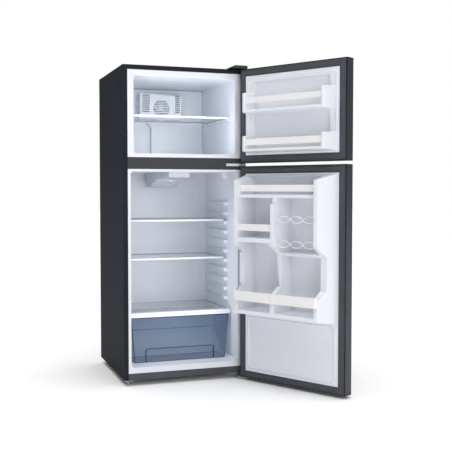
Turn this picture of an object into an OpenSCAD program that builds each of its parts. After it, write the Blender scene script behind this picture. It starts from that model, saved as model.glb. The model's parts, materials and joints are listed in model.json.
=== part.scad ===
// Top freezer refrigerator with both doors open.
//
// X runs across the cabinet, Y from the doors to the back, Z up. The origin is on the floor,
// midway between the two front levelling legs. Inside the modules, lengths are counted from the
// middle of the cabinet (x), from its front face (y) and from its underside (z); at_front()
// moves them to the origin. The doors are drawn shut and turned by swing().

/* [Cabinet] */
// Width of the cabinet
cab_w = 600; // [560:5:720]
// Height of the cabinet above its underside
cab_h = 1470; // [1380:5:1764]
// Depth of the cabinet behind the doors
cab_d = 585; // [560:5:702]
// Height of the underside above the floor
floor_gap = 28; // [26:0.5:34]
// Thickness of the folded steel sheet
sheet_t = 0.8; // [0.6:0.1:1]
// Width of the steel flange round the front
flange_w = 21.5; // [18:0.5:26]
// Distance of the levelling legs behind the front face
leg_setback = 45; // [42:1:60]
// Distance of the legs from the cabinet's sides
leg_inset = 28; // [26:1:36]

/* [Compartments] */
// Wall beside the freezer opening
freezer_wall = 50.7; // [42:0.1:61]
// Wall beside the fridge opening
fridge_wall = 35.2; // [30:0.1:42]
// Wall above the freezer
top_wall = 49; // [40:1:59]
// Wall between the two compartments
divider_h = 84; // [76:1:101]
// Wall below the fridge
floor_wall = 58; // [48:1:64]
// Height of the freezer opening
freezer_h = 359; // [330:1:430]
// Wall behind the freezer
freezer_rear = 35; // [30:1:42]
// Wall behind the fridge
fridge_rear = 55; // [50:1:66]
// Thickness of the formed plastic liners
liner_t = 2; // [1.5:0.1:2.4]
// Corner radius of the liners' openings
corner_r = 14; // [10:1:18]
// How much the fridge's side walls lean in towards the back
fridge_draft = 7; // [4:0.5:9]

/* [Doors] */
// Angle at which both doors stand open
door_open = 120; // [95:1:130]
// Thickness of a door from its skin to its seal
door_t = 55; // [46:1:66]
// Distance from a shut door to the cabinet's front face
seal_gap = 9; // [8:0.5:11]
// Gap between the two doors
door_gap = 15; // [12:0.5:18]
// How far the fridge door hangs below the cabinet's underside
door_drop = 15; // [12:0.5:16]
// How far the freezer door stops below the cabinet's top
door_top_gap = 4; // [3:0.5:6]
// Radius of the doors' outer edges
door_edge_r = 10; // [6:1:12]
// Thickness of a door's steel skin
skin_t = 0.6; // [0.5:0.1:0.9]
// Height of the fridge door's top cap with the finger pocket
pocket_cap_h = 22; // [20:1:27]
// Height of the plain door caps
cap_h = 8; // [6:0.5:10]
// Width of the door seal
seal_w = 30; // [24:1:31]
// Distance of the seal from the door's edge
seal_inset = 6; // [5.5:0.5:7]
// Clearance between a shut door's seal and the cabinet
seal_clear = 0.8; // [0.7:0.1:1.2]

/* [Hinges] */
// Distance of the hinge pins from the cabinet's right side
hinge_in = 11; // [11:0.5:14]
// Distance of the hinge pins in front of the cabinet
hinge_out = 29; // [27:0.5:32]
// Radius of the hinge pins
pin_r = 4; // [3:0.25:4.8]
// Running clearance round a pin or an axle
pin_clear = 0.08; // [0.05:0.01:0.1]
// Thickness of the hinge plates
plate_t = 4; // [3:0.25:4.5]
// Thickness of the top hinge plate
top_plate_t = 3; // [2.5:0.25:3.5]

/* [Door racks] */
// Depth of the freezer door's racks in front of the cabinet face
freezer_rack_d = 66; // [55:1:70]
// Depth of the fridge door's racks
fridge_rack_d = 117; // [98:1:120]
// Depth of the middle of the fridge door's dykes
fridge_waist_d = 62; // [50:1:74]
// Width of the moulded dykes at each side of the fridge door's racks
dyke_w = 50.8; // [44:0.1:54]
// Width of the upright between the fridge door's compartments
upright_w = 23; // [19:1:28]
// Thickness of the retaining bars
bar_t = 3; // [2.5:0.25:3.6]
// Radius of the can rack's wire
wire_r = 1.6; // [1.3:0.1:1.9]

/* [Shelves] */
// Thickness of the shelf panels
glass_t = 4; // [3.2:0.1:4.8]
// Height of the shelf trims
trim_h = 9; // [8:0.5:11]
// Distance of the fridge shelves behind the front face
shelf_front = 175; // [160:1:210]
// Distance of the freezer shelf behind the front face
freezer_shelf_front = 80; // [76:1:96]
// Height of the freezer shelf above the freezer floor
freezer_shelf_h = 177; // [150:1:200]
// Spacing of the shelf ribs in the fridge
rib_pitch = 47.25; // [45:0.25:50]
// Number of shelf ribs on each side
rib_count = 11; // [9:1:11]
// Height of the crisper drawer
drawer_h = 217; // [205:1:217]
// Wall of the crisper drawer
drawer_wall = 2.5; // [2:0.1:3]
// Distance of the crisper drawer behind the front face
drawer_front = 90; // [86:1:105]
// Depth of the crisper drawer at its rim
drawer_d = 272; // [226:1:273]

/* [Machine space] */
// Depth of the machine space at the back
machine_d = 175; // [168:1:200]
// Height of the machine space
machine_h = 198; // [192:1:212]
// Radius of the compressor's shell
shell_r = 72; // [60:1:74]
// Radius of the rear rollers
roller_r = 13; // [11:0.5:13.5]
// Radius of the rollers' axles
axle_r = 3; // [2.5:0.25:3.6]
// Number of passes of the condenser tube
condenser_passes = 18; // [12:2:20]

/* [Hidden] */
$fn = 48;

steel_dark = "#3c4049";
white = "#eef0f4";
half = cab_w / 2;
side_in = half - sheet_t;

// Heights of the compartments and the doors
fridge_z0 = floor_wall;
freezer_z1 = cab_h - top_wall;
freezer_z0 = freezer_z1 - freezer_h;
fridge_z1 = freezer_z0 - divider_h;
split_z = (freezer_z0 + fridge_z1) / 2 - 7.5;
low_door_z0 = -door_drop;
low_door_z1 = split_z - door_gap / 2;
top_door_z0 = split_z + door_gap / 2;
top_door_z1 = cab_h - door_top_gap;

// Widths and depths of the compartments
freezer_half = half - freezer_wall;
fridge_half = half - fridge_wall;
freezer_back = cab_d - freezer_rear;
fridge_back = cab_d - fridge_rear;
freezer_draft = 4;
back_chamfer = 24;
liner_y = sheet_t;
foam_y = sheet_t + liner_t;
liner_lap = 9;

// The step in the fridge's floor that clears the machine space
machine_y = cab_d - machine_d;
machine_knee = 75;
step_wall = 35;
step_y = machine_y - step_wall;
step_knee = 172;
step_top = machine_h + step_wall + 2;
step_foot = step_y - 137;

// Door faces, with a shut door in front of y = 0
inner_y = -seal_gap;
outer_y = -seal_gap - door_t;
hinge_x = half - hinge_in;
hinge_y = -hinge_out;
boss_r = 9;
boss_h = 18;
liner_edge = seal_inset + seal_w + 1;
sheet_edge = seal_inset + 2;
return_w = 14;
recess_d = 9;

// Shelves
freezer_shelf_z = freezer_z0 + freezer_shelf_h + trim_h;
freezer_shelf_half = freezer_half - 5;
shelf_half = fridge_half - 12;
shelf_back = fridge_back - 42;
rib_half = fridge_half - 20;
first_rib = fridge_z0 + 299;
rest_gap = 0.3;
upper_shelf_z = first_rib + 8 * rib_pitch + trim_h + rest_gap;
lower_shelf_z = first_rib + 4 * rib_pitch + trim_h + rest_gap;
cover_z = fridge_z0 + 242;
cover_trim_h = 22;
drawer_z = fridge_z0 + 2;

// Freezer air duct, fan and evaporator
duct_y = freezer_back - 41;
duct_bulge = 66;
duct_wall = 2.5;
bulge_y = duct_y - duct_bulge;
neck_y = duct_y - 24;
fan_z = freezer_z1 - 103;
fan_r = 46;
coil_y = freezer_back - 20;

// Ceiling housing in the fridge
lamp_y = 105;
lamp_d = 130;
housing_wall = 2.5;

// Machine space
shell_x = half - 180;
shell_y = machine_y + 87;
mount_h = 14;
shell_z = 24;
roller_x = half - 38;
roller_y = cab_d - 45;
roller_z = roller_r - floor_gap;
condenser_y = cab_d + 13;
tube_r = 2.4;
leg_x = half - leg_inset;

module at_front() translate([0, -leg_setback, floor_gap]) children();
module swing() translate([hinge_x, hinge_y, 0]) rotate([0, 0, door_open])
    translate([-hinge_x, -hinge_y, 0]) children();
module box(x, y, z) translate([x[0], y[0], z[0]]) cube([x[1] - x[0], y[1] - y[0], z[1] - z[0]]);
// Extrude an outline along one axis: (x, z) along Y, (y, z) along X, (x, y) along Z
module along_y(y) translate([0, y[1], 0]) rotate([90, 0, 0]) linear_extrude(y[1] - y[0]) children();
module along_x(x) translate([x[0], 0, 0]) rotate([90, 0, 90]) linear_extrude(x[1] - x[0]) children();
module along_z(z) translate([0, 0, z[0]]) linear_extrude(z[1] - z[0]) children();
module rod_x(x, r) translate([x[0], 0, 0]) rotate([0, 90, 0]) cylinder(h = x[1] - x[0], r = r);
module rod_y(y, r) translate([0, y[0], 0]) rotate([-90, 0, 0]) cylinder(h = y[1] - y[0], r = r);
module both_sides() { children(); mirror([1, 0, 0]) children(); }
module rect(x, z) translate([x[0], z[0]]) square([x[1] - x[0], z[1] - z[0]]);
module round_rect(x, z, r) {
    rect([x[0] + r, x[1] - r], z);
    rect(x, [z[0] + r, z[1] - r]);
    for (cx = [x[0] + r, x[1] - r], cz = [z[0] + r, z[1] - r]) translate([cx, cz]) circle(r);
}
// A quarter bend in the XZ plane, from going up at the origin to going towards +X
module bend(radius, r) translate([radius, 0, 0]) rotate([90, 0, 0]) rotate([0, 0, 90])
    rotate_extrude(angle = 90) translate([radius, 0]) circle(r);

// ---- Cabinet ----
module cabinet_wrapper() at_front() color(steel_dark) {
    along_y([0, cab_d]) difference() {
        rect([-half, half], [0, cab_h]);
        rect([-side_in, side_in], [-1, cab_h - sheet_t]);
    }
    along_y([0, sheet_t]) difference() {
        rect([-half, half], [0, cab_h]);
        rect([-half + flange_w, half - flange_w], [-1, cab_h - flange_w]);
    }
}

module rear_panel() at_front() color("#8d9196")
    box([-side_in, side_in], [cab_d - sheet_t, cab_d], [machine_h + 1, cab_h - sheet_t]);

// Outline of the machine space, (y, z), grown by g
function machine_outline(g) = [[machine_y - 80 - 1.4 * g, -1], [machine_y - 80 - 1.4 * g, 0],
    [machine_y - g, machine_knee + 0.4 * g], [machine_y - g, machine_h + g],
    [cab_d + 1, machine_h + g], [cab_d + 1, -1]];

module machine_deck() at_front() color("#9aa0a6") {
    difference() {
        union() {
            intersection() {
                along_x([-side_in, side_in]) polygon(machine_outline(1));
                box([-side_in, side_in], [foam_y, cab_d], [0, cab_h]);
            }
            box([-side_in, side_in], [foam_y, machine_y - 80], [0, 1]);
        }
        along_x([-half, half]) polygon(machine_outline(0));
        drain_bore(drain_r);
    }
    // The rail that the compressor stands on, with the roller brackets below it
    box([-side_in, side_in], [machine_y + 6, cab_d - 10], [0, 2]);
    both_sides() for (x = [roller_x - 11, roller_x + 8]) difference() {
        box([x, x + 3], [roller_y - 14, roller_y + 14], [roller_z - 6, 0]);
        translate([0, roller_y, roller_z]) rod_x([x - 1, x + 4], axle_r + pin_clear);
    }
    both_sides() translate([0, roller_y, roller_z]) rod_x([roller_x - 13, roller_x + 13], axle_r);
    // The channels that the levelling legs screw into
    both_sides() difference() {
        union() {
            box([leg_x - 18, leg_x + 18], [leg_setback - 17, leg_setback + 17], [-12, -9]);
            for (x = [leg_x - 18, leg_x + 16])
                box([x, x + 2], [leg_setback - 17, leg_setback + 17], [-12, 0]);
        }
        translate([leg_x, leg_setback, -13]) cylinder(h = 5, r = 4 + pin_clear);
    }
}

module base_rail() at_front() color(steel_dark) {
    box([-half + flange_w, half - flange_w], [0, sheet_t], [0, floor_wall - 27]);
    box([-side_in, side_in], [sheet_t, foam_y], [0, 12]);
}

plug_x = [-half + 40, -half + 84];
module mullion_cover() at_front() color("#4a4e58") difference() {
    box([-half + flange_w, half - flange_w], [0, sheet_t], [fridge_z1 + 11, freezer_z0 - 18]);
    for (x = plug_x) translate([x, 0, split_z + 4]) rod_y([-1, 2], 4 + pin_clear);
}

module hole_plugs() at_front() color("#16181c") for (x = plug_x) translate([x, 0, split_z + 4]) {
    rod_y([-1.2, 0], 5.5);
    rod_y([-0.5, foam_y - 0.3], 4);
}

// The space inside a compartment, grown by g, with walls that lean in and chamfered back corners
module cavity(w, z, depth, draft, chamfer, g) intersection() {
    along_y([liner_y - 1, depth + g]) round_rect([-w - g, w + g], [z[0] - g, z[1] + g], corner_r + g);
    along_z([z[0] - g - 1, z[1] + g + 1]) polygon([[-w - g, liner_y - 1], [w + g, liner_y - 1],
        [w - draft + g, depth - chamfer], [w - draft - chamfer + g, depth + g],
        [-w + draft + chamfer - g, depth + g], [-w + draft - g, depth - chamfer]]);
}
module freezer_cavity(g) cavity(freezer_half, [freezer_z0, freezer_z1], freezer_back,
    freezer_draft, 3, g);
module fridge_cavity(g) difference() {
    cavity(fridge_half, [fridge_z0, fridge_z1], fridge_back, fridge_draft, back_chamfer, g);
    along_x([-half, half]) polygon([[step_foot + 0.36 * g, fridge_z0 - g - 9],
        [step_foot + 0.36 * g, fridge_z0 - g], [step_y + g, step_knee - 0.47 * g],
        [step_y + g, step_top - g], [cab_d, step_top - g], [cab_d, fridge_z0 - g - 9]]);
}

drain_y = fridge_back + liner_t + 8;
drain_r = 5;
module drain_bore(r) translate([0, drain_y, machine_h - 20])
    cylinder(h = freezer_z0 - machine_h + 20, r = r);

module cabinet_foam() at_front() color("#e9d9a8") difference() {
    box([-side_in, side_in], [foam_y, cab_d - sheet_t], [1, cab_h - sheet_t]);
    freezer_cavity(liner_t);
    fridge_cavity(liner_t);
    along_x([-half, half]) polygon(machine_outline(1));
    drain_bore(drain_r);
}

module freezer_ledges() both_sides() box([freezer_half - 12, half],
    [freezer_shelf_front - 10, bulge_y - 10],
    [freezer_shelf_z - trim_h - 8, freezer_shelf_z - trim_h - rest_gap]);

module freezer_liner() at_front() color(white) difference() {
    union() {
        freezer_cavity(liner_t);
        along_y([liner_y, foam_y]) rect([-half + flange_w - liner_lap, half - flange_w + liner_lap],
            [freezer_z0 - 18 - liner_lap, cab_h - flange_w + liner_lap]);
    }
    difference() {
        freezer_cavity(0);
        freezer_ledges();
    }
    box([-half, half], [-9, liner_y], [0, cab_h]);
}

// Ribs that carry the shelves, each with a thicker pad at its front
module fridge_ribs() both_sides() {
    for (i = [0 : rib_count - 1]) {
        top = first_rib + i * rib_pitch;
        box([rib_half, half], [shelf_front - 25, shelf_back - 40], [top - 7, top]);
        box([rib_half - 1, half], [shelf_front - 27, shelf_front + 12], [top - 17, top]);
    }
    // Ledge under the crisper's cover and the runner that the drawer slides on
    box([rib_half, half], [drawer_front + 24, shelf_back],
        [cover_z - 15 - glass_t, cover_z - 4 - glass_t]);
    box([150, 166], [drawer_front + 20, step_foot - 14], [fridge_z0 - 1, drawer_z - rest_gap]);
}

module fridge_liner() at_front() color(white) difference() {
    union() {
        fridge_cavity(liner_t);
        along_y([liner_y, foam_y]) rect([-half + flange_w - liner_lap, half - flange_w + liner_lap],
            [12, fridge_z1 + 11 + liner_lap]);
    }
    difference() {
        fridge_cavity(0);
        fridge_ribs();
    }
    box([-half, half], [-9, liner_y], [0, cab_h]);
}

// ---- Hinges ----
module hex_screw(r, h) cylinder(h = h, r = r, $fn = 6);

module top_hinge() at_front() color("silver") {
    along_z([cab_h, cab_h + top_plate_t]) {
        rect([half - 70, half - 5], [6, 50]);
        rect([hinge_x - 12, half - 5], [hinge_y, 7]);
        translate([hinge_x - 3, hinge_y]) circle(9);
    }
    translate([hinge_x, hinge_y, cab_h - 20]) cylinder(h = 20 + top_plate_t / 2, r = pin_r);
    for (x = [half - 60, half - 40, half - 18])
        translate([x, 32, cab_h + top_plate_t]) hex_screw(5.5, 4);
}

// Outline of the hinge cover from the front, (x, z), shrunk by s
function cover_outline(s) = [[half - 92 + 2.4 * s, cab_h + 0.1 - s], [half - 66 + 0.6 * s, cab_h + 15 - s],
    [half - 2 - s, cab_h + 15 - s], [half - 2 - s, cab_h + 0.1 - s]];
module hinge_cover() at_front() color("#1b1d22") difference() {
    along_y([hinge_y - 14, 56]) polygon(cover_outline(0));
    along_y([hinge_y - 12, 54]) polygon(cover_outline(2));
}

module middle_hinge() at_front() color("#c9ccd0") {
    box([half - 96, half - 5], [-3, 0], [split_z - 6, split_z + 6]);
    along_z([split_z - plate_t / 2, split_z + plate_t / 2]) {
        rect([hinge_x - 16, half - 5], [hinge_y, -2]);
        rect([hinge_x - 10, half - 5], [hinge_y - 1, -2]);
        translate([hinge_x - 4, hinge_y]) circle(10);
    }
    translate([hinge_x, hinge_y, split_z - 24]) cylinder(h = 48, r = pin_r);
    for (x = [half - 87, half - 62, half - 36])
        translate([x, -3, split_z]) rotate([90, 0, 0]) hex_screw(4, 2.5);
}

hinge_z = low_door_z0 - 1.5;
module bottom_hinge() at_front() color("#a7abb0") {
    along_z([hinge_z - plate_t, hinge_z]) {
        rect([half - 44, half - 3], [hinge_y, 26]);
        translate([hinge_x - 2, hinge_y]) circle(10);
        rect([hinge_x - 20, hinge_x], [hinge_y - 10, hinge_y]);
    }
    box([half - 44, half - 3], [22, 26], [hinge_z - plate_t, 0]);
    translate([hinge_x, hinge_y, hinge_z - plate_t / 2]) cylinder(h = 24 + plate_t / 2, r = pin_r);
}

// ---- Legs and rollers ----
module leg(x) at_front() translate([x, leg_setback, 0]) color("#8b8f94") {
    translate([0, 0, -floor_gap]) cylinder(h = 8, r = 13);
    translate([0, 0, -floor_gap + 7]) cylinder(h = 5, r = 7, $fn = 6);
    translate([0, 0, -floor_gap + 7]) cylinder(h = floor_gap - 8, r = 4);
}
module leg_left() leg(-leg_x);
module leg_right() leg(leg_x);

module roller(x) at_front() translate([0, roller_y, roller_z]) color("#2b2d30") difference() {
    union() {
        rod_x([x - 7, x + 7], roller_r);
        rod_x([x - 7.6, x + 7.6], 6);
    }
    rod_x([x - 9, x + 9], axle_r + pin_clear);
}
module roller_left() roller(-roller_x);
module roller_right() roller(roller_x);

// ---- Machine space ----
shell_h = 74;
dome_r = 105;
dome_drop = sqrt(dome_r * dome_r - shell_r * shell_r);
mount_x = 78;
mount_y = 52;
module at_shell() at_front() translate([shell_x, shell_y, 0]) children();
module compressor() at_shell() color("#202225") {
    translate([0, 0, shell_z]) cylinder(h = shell_h, r = shell_r);
    translate([0, 0, shell_z + shell_h / 2]) cylinder(h = 5, r = shell_r + 3);
    intersection() {
        translate([0, 0, shell_z + shell_h - dome_drop]) sphere(dome_r, $fn = 96);
        translate([0, 0, shell_z + shell_h - 1]) cylinder(h = 60, r = shell_r);
    }
    difference() {
        along_z([2 + mount_h, 2 + mount_h + 3]) round_rect([-mount_x - 14, mount_x + 14],
            [-mount_y - 14, mount_y + 14], 10);
        for (x = [-mount_x, mount_x], y = [-mount_y, mount_y])
            translate([x, y, mount_h]) cylinder(h = 9, r = 7);
    }
    box([-50, 50], [-8, 8], [2 + mount_h + 2, shell_z + 1]);
}

module compressor_mounts() at_shell() color("#141414")
    for (x = [-mount_x, mount_x], y = [-mount_y, mount_y]) translate([x, y, 2]) {
        cylinder(h = mount_h, r = 11);
        cylinder(h = mount_h + 6, r = 6.9);
    }

module relay_cover() at_shell() color("#101114") {
    difference() {
        box([-shell_r - 32, -shell_r * 0.8], [-24, 24], [34, 84]);
        translate([0, 0, 20]) cylinder(h = 90, r = shell_r + 3.5);
    }
    // Gland that the power cord would leave through
    translate([-shell_r - 20, 0, 44]) difference() {
        rod_y([23, 34], 6);
        rod_y([25, 35], 3.6);
    }
}

pipe_r = 3.2;
module refrigerant_pipes() at_shell() color("#b5713c") {
    // Discharge pipe: out of the shell, up, and back to the condenser's foot
    translate([0, 0, shell_z + shell_h - 18]) {
        rod_y([shell_r + 0.05, shell_r + 10], pipe_r);
        translate([0, shell_r + 10, 0]) rotate([0, 0, 90]) rotate([0, 90, 0]) mirror([1, 0, 0])
            bend(12, pipe_r);
        translate([0, shell_r + 22, 12]) cylinder(h = 120, r = pipe_r);
    }
    // Filter drier with its capillary stub
    translate([-160, 40, 60]) {
        cylinder(h = 90, r = 9);
        translate([0, 0, -14]) cylinder(h = 120, r = pipe_r);
    }
}

cond_x = half - 62;
cond_z0 = machine_h + 70;
cond_pitch = 2 * floor((cab_h - 90 - cond_z0) / (condenser_passes - 1) / 2);
module condenser() at_front() color("#17181a") {
    for (i = [0 : condenser_passes - 1]) translate([0, condenser_y, cond_z0 + i * cond_pitch])
        rod_x([-cond_x, cond_x], tube_r);
    for (i = [0 : condenser_passes - 2]) translate([(i % 2 == 0 ? 1 : -1) * cond_x, condenser_y,
        cond_z0 + (i + 0.5) * cond_pitch]) rotate([90, 0, 0]) rotate([0, 0, i % 2 == 0 ? -90 : 90])
        rotate_extrude(angle = 180) translate([cond_pitch / 2, 0]) circle(tube_r);
    wires = floor((2 * cond_x - 20) / 12);
    for (i = [0 : wires]) translate([(i - wires / 2) * 12,
        condenser_y + (i % 2 == 0 ? 1 : -1) * (tube_r + 0.95), cond_z0 - 6])
        cylinder(h = (condenser_passes - 1) * cond_pitch + 12, r = 0.9, $fn = 16);
    // Stand-off clips on the rear panel
    for (x = [-cond_x + 14, cond_x - 14], i = [1.5, condenser_passes - 2.5])
        translate([x, 0, cond_z0 + i * cond_pitch])
        box([-6, 6], [cab_d, condenser_y - tube_r - 2.2], [-9, 9]);
}

pan_x = [shell_x - 80, shell_x + 84];
module drain_pan() at_front() color("#2a2c30") difference() {
    box(pan_x, [machine_y + 14, cab_d - 14], [machine_h - 34, machine_h - 12]);
    box([pan_x[0] + 2, pan_x[1] - 2], [machine_y + 16, cab_d - 16], [machine_h - 32, machine_h]);
}

module drain_tube() at_front() color("#d8dadd") difference() {
    translate([0, drain_y, machine_h - 18])
        cylinder(h = freezer_z0 - liner_t - machine_h + 18, r = drain_r);
    translate([0, drain_y, 0]) cylinder(h = cab_h, r = drain_r - 1.2);
}

// ---- Freezer works ----
coil_passes = 6;
coil_pitch = 25;
coil_z0 = freezer_z0 + 30;
coil_half = freezer_half - 62;
module evaporator() at_front() color("#c7cbd0") translate([0, coil_y, 0]) {
    for (i = [0 : coil_passes - 1]) translate([0, 0, coil_z0 + i * coil_pitch])
        rod_x([-coil_half, coil_half], 4);
    for (i = [0 : coil_passes - 2])
        translate([(i % 2 == 0 ? 1 : -1) * coil_half, 0, coil_z0 + (i + 0.5) * coil_pitch])
        rotate([90, 0, 0]) rotate([0, 0, i % 2 == 0 ? -90 : 90])
        rotate_extrude(angle = 180) translate([coil_pitch / 2, 0]) circle(4);
    for (i = [-10 : 10]) along_x([i * coil_half / 11, i * coil_half / 11 + 0.5]) difference() {
        rect([-13, 13], [coil_z0 - 12, coil_z0 + coil_passes * coil_pitch - 13]);
        for (j = [0 : coil_passes - 1]) translate([0, coil_z0 + j * coil_pitch]) circle(4 + pin_clear);
    }
}

module defrost_heater() at_front() color("#b9c4cc") translate([0, coil_y, coil_z0 - 20]) {
    rod_x([-coil_half + 8, coil_half - 8], 4);
    for (x = [-coil_half, coil_half - 10]) rod_x([x, x + 10], 5.5);
}

shaft_r = 1.5;
module fan_motor() at_front() translate([0, 0, fan_z]) color("#4d4f55") {
    rod_y([bulge_y + 38, bulge_y + 62], 20);
    rod_y([bulge_y + 14, bulge_y + 40], shaft_r);
    box([-60, 60], [bulge_y + 62, bulge_y + 65], [-8, 8]);
}

module evaporator_fan() at_front() translate([0, 0, fan_z]) color("#e3e5e8") difference() {
    union() {
        rod_y([bulge_y + 12, bulge_y + 34], 13);
        intersection() {
            rod_y([bulge_y + 12, bulge_y + 34], fan_r);
            for (i = [0 : 4]) rotate([0, i * 72, 0]) translate([0, bulge_y + 23, 0]) rotate([0, 0, 35])
                box([-15, 15], [-0.8, 0.8], [8, fan_r + 4]);
        }
    }
    rod_y([bulge_y + 13.5, bulge_y + 35], shaft_r + pin_clear);
}

// Outline of the duct from the front, (x, z), shrunk by s
duct_half = 114;
neck_half = 44;
duct_side = [[neck_half, freezer_z0 + 2], [neck_half, freezer_z0 + 157], [68, freezer_z0 + 180],
    [duct_half, freezer_z0 + 200], [duct_half, freezer_z1 - 30]];
function lift(z, s) = z > freezer_z0 + 210 ? -s : z < freezer_z0 + 10 ? s : 0.3 * s;
function duct_outline(s) = concat(
    [for (p = duct_side) [p[0] - s, p[1] + lift(p[1], s)]],
    [for (i = [4 : -1 : 0]) [s - duct_side[i][0], duct_side[i][1] + lift(duct_side[i][1], s)]]);
// The fan stands in the deeper part at the top
module duct_shape(s) {
    along_y([neck_y + s, duct_y - 1 + s]) polygon(duct_outline(s));
    along_y([bulge_y + s, duct_y - 1 + s]) rect([-duct_half + s, duct_half - s],
        [freezer_z0 + 198 + s, freezer_z1 - 30 - s]);
}
module duct_slots() for (i = [0 : 8]) {
    z = fan_z + 62 - i * 10.5;
    rect([-duct_half + 10, -duct_half + 52], [z, z + 4.5]);
    rect([duct_half - 40, duct_half - 14], [z, z + 4.5]);
}
module freezer_duct_cover() at_front() color(white) difference() {
    union() {
        along_y([duct_y - 3, duct_y]) round_rect([-freezer_half + freezer_draft + 1,
            freezer_half - freezer_draft - 1], [freezer_z0 + 2, freezer_z1 - 2], corner_r);
        duct_shape(0);
        // Ring moulding round the fan
        along_y([bulge_y - 1.5, bulge_y + 1]) translate([0, fan_z]) difference() {
            circle(64);
            circle(60);
        }
    }
    duct_shape(duct_wall);
    along_y([bulge_y - 1, bulge_y + duct_wall + 1]) difference() {
        duct_slots();
        translate([0, fan_z]) circle(66);
    }
    // Air outlet in the middle of the ring
    along_y([bulge_y - 2, bulge_y + duct_wall + 1]) translate([0, fan_z])
        for (z = [-36 : 9 : 36]) rect([-sqrt(44 * 44 - z * z), sqrt(44 * 44 - z * z)], [z - 2, z + 2]);
}

// ---- Shelves ----
// A panel with its top at z, from y[0] to y[1]; the trims wrap its front and back edges
module panel(w, y, z) box([-w, w], y, [z - 1 - glass_t, z - 1]);
module trims(w, y, z, h, depth) difference() {
    for (edge = [[y[0] - 4, y[0] + depth], [y[1] - 10, y[1] + 3]]) box([-w, w], edge, [z - h, z]);
    panel(w + 1, y, z);
}

freezer_shelf_y = [freezer_shelf_front + 4, bulge_y - 12];
module freezer_shelf_glass() at_front() color("#cfdde3")
    panel(freezer_shelf_half, freezer_shelf_y, freezer_shelf_z);
module freezer_shelf_trim() at_front() color(white)
    trims(freezer_shelf_half, freezer_shelf_y, freezer_shelf_z, trim_h, 10);

shelf_y = [shelf_front + 4, shelf_back];
module shelf_glass(z) at_front() color("#c8dcdc") panel(shelf_half, shelf_y, z);
module shelf_trim(z) at_front() color("#dfe3e8") trims(shelf_half, shelf_y, z, trim_h, 14);
module upper_shelf_glass() shelf_glass(upper_shelf_z);
module upper_shelf_trim() shelf_trim(upper_shelf_z);
module lower_shelf_glass() shelf_glass(lower_shelf_z);
module lower_shelf_trim() shelf_trim(lower_shelf_z);

cover_half = fridge_half - 8;
cover_y = [drawer_front + 2, shelf_back];
module crisper_cover_glass() at_front() color("#c8dcdc")
    box([-cover_half, cover_half], [cover_y[0] + 4, cover_y[1]], [cover_z - 4 - glass_t, cover_z - 4]);
module crisper_cover_trim() at_front() color(white) difference() {
    box([-cover_half, cover_half], [drawer_front - 2, drawer_front + 18],
        [cover_z - cover_trim_h, cover_z]);
    box([-half, half], [cover_y[0] + 4, cover_y[1]], [cover_z - 4 - glass_t, cover_z - 4]);
    box([-half, half], [drawer_front + 3, drawer_front + 30],
        [cover_z - cover_trim_h - 1, cover_z - 4 - glass_t]);
}

// ---- Crisper drawer ----
drawer_top = drawer_z + drawer_h;
drawer_half = fridge_half - 17;
drawer_foot = 226 - 90;
drawer_side = 112;
grip = [drawer_half - 76, 62, 12];
module drawer_shape(s) intersection() {
    along_y([0, cab_d]) polygon([[-drawer_half + 20 + s, drawer_z + s],
        [drawer_half - 20 - s, drawer_z + s], [drawer_half - s, drawer_top + 2 * s],
        [-drawer_half + s, drawer_top + 2 * s]]);
    along_x([-half, half]) polygon([[drawer_front + 5 + s, drawer_z + s],
        [drawer_front + s, drawer_top + 2 * s], [drawer_front + drawer_d - s, drawer_top + 2 * s],
        [drawer_front + drawer_d - s, drawer_z + drawer_side + 0.4 * s],
        [drawer_front + drawer_foot - 0.4 * s, drawer_z + s]]);
}
module grip_recess(s) box([-grip[0] - s, grip[0] + s],
    [drawer_front - 9, drawer_front + grip[2] + s], [drawer_z - 9, drawer_z + grip[1] + s]);
module crisper_drawer() at_front() color("#9fb6cf") difference() {
    drawer_shape(0);
    difference() {
        drawer_shape(drawer_wall);
        grip_recess(drawer_wall);
    }
    grip_recess(0);
}

// ---- Ceiling housing ----
// Side outline of the housing, (y, z), with its underside raised by s
function housing_outline(s) = [[lamp_y + s, fridge_z1 - 0.2], [lamp_y + s, fridge_z1 - 25 + s],
    [lamp_y + 135, fridge_z1 - 34 + s], [lamp_y + 195, fridge_z1 - 34 + s],
    [lamp_y + 325 - 0.3 * s, fridge_z1 - 73 + s], [lamp_y + 375 - s, fridge_z1 - 73 + s],
    [lamp_y + 375 - s, fridge_z1 - 0.2]];
module housing_shape(s) intersection() {
    along_x([-80, 80]) polygon(housing_outline(s));
    along_z([fridge_z1 - 90, fridge_z1 + (s > 0 ? 1 : -0.2)]) polygon([[-53 + s, lamp_y - 1],
        [53 - s, lamp_y - 1], [73 - s, lamp_y + 380], [-73 + s, lamp_y + 380]]);
}
module housing_part(y) intersection() {
    difference() {
        housing_shape(0);
        housing_shape(housing_wall);
    }
    box([-half, half], y, [0, cab_h]);
}
knob_y = lamp_y + 168;
switch_x = fridge_half - 41;
switch_z = fridge_z1 - 23;
button_r = 4.5;
module ceiling_housing() at_front() color(white) {
    difference() {
        union() {
            housing_part([lamp_y + lamp_d + 1, cab_d]);
            box([-55, 55], [lamp_y + lamp_d + 1, lamp_y + lamp_d + 4], [fridge_z1 - 32, fridge_z1 - 0.2]);
        }
        translate([0, knob_y, 0]) cylinder(h = cab_h, r = 5 + pin_clear);
        // Air slots in the sloping underside
        for (x = [-40, 8]) box([x, x + 32], [lamp_y + 262, lamp_y + 270], [fridge_z1 - 80, fridge_z1 - 40]);
    }
    // Holder of the door switch
    difference() {
        box([switch_x - 11, switch_x + 11], [80, 108], [switch_z - 8, fridge_z1 - 0.2]);
        translate([switch_x, 0, switch_z]) rod_y([70, 104], button_r + pin_clear);
    }
}
module lamp_cover() at_front() color([0.95, 0.96, 1, 0.7]) housing_part([0, lamp_y + lamp_d]);
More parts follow.
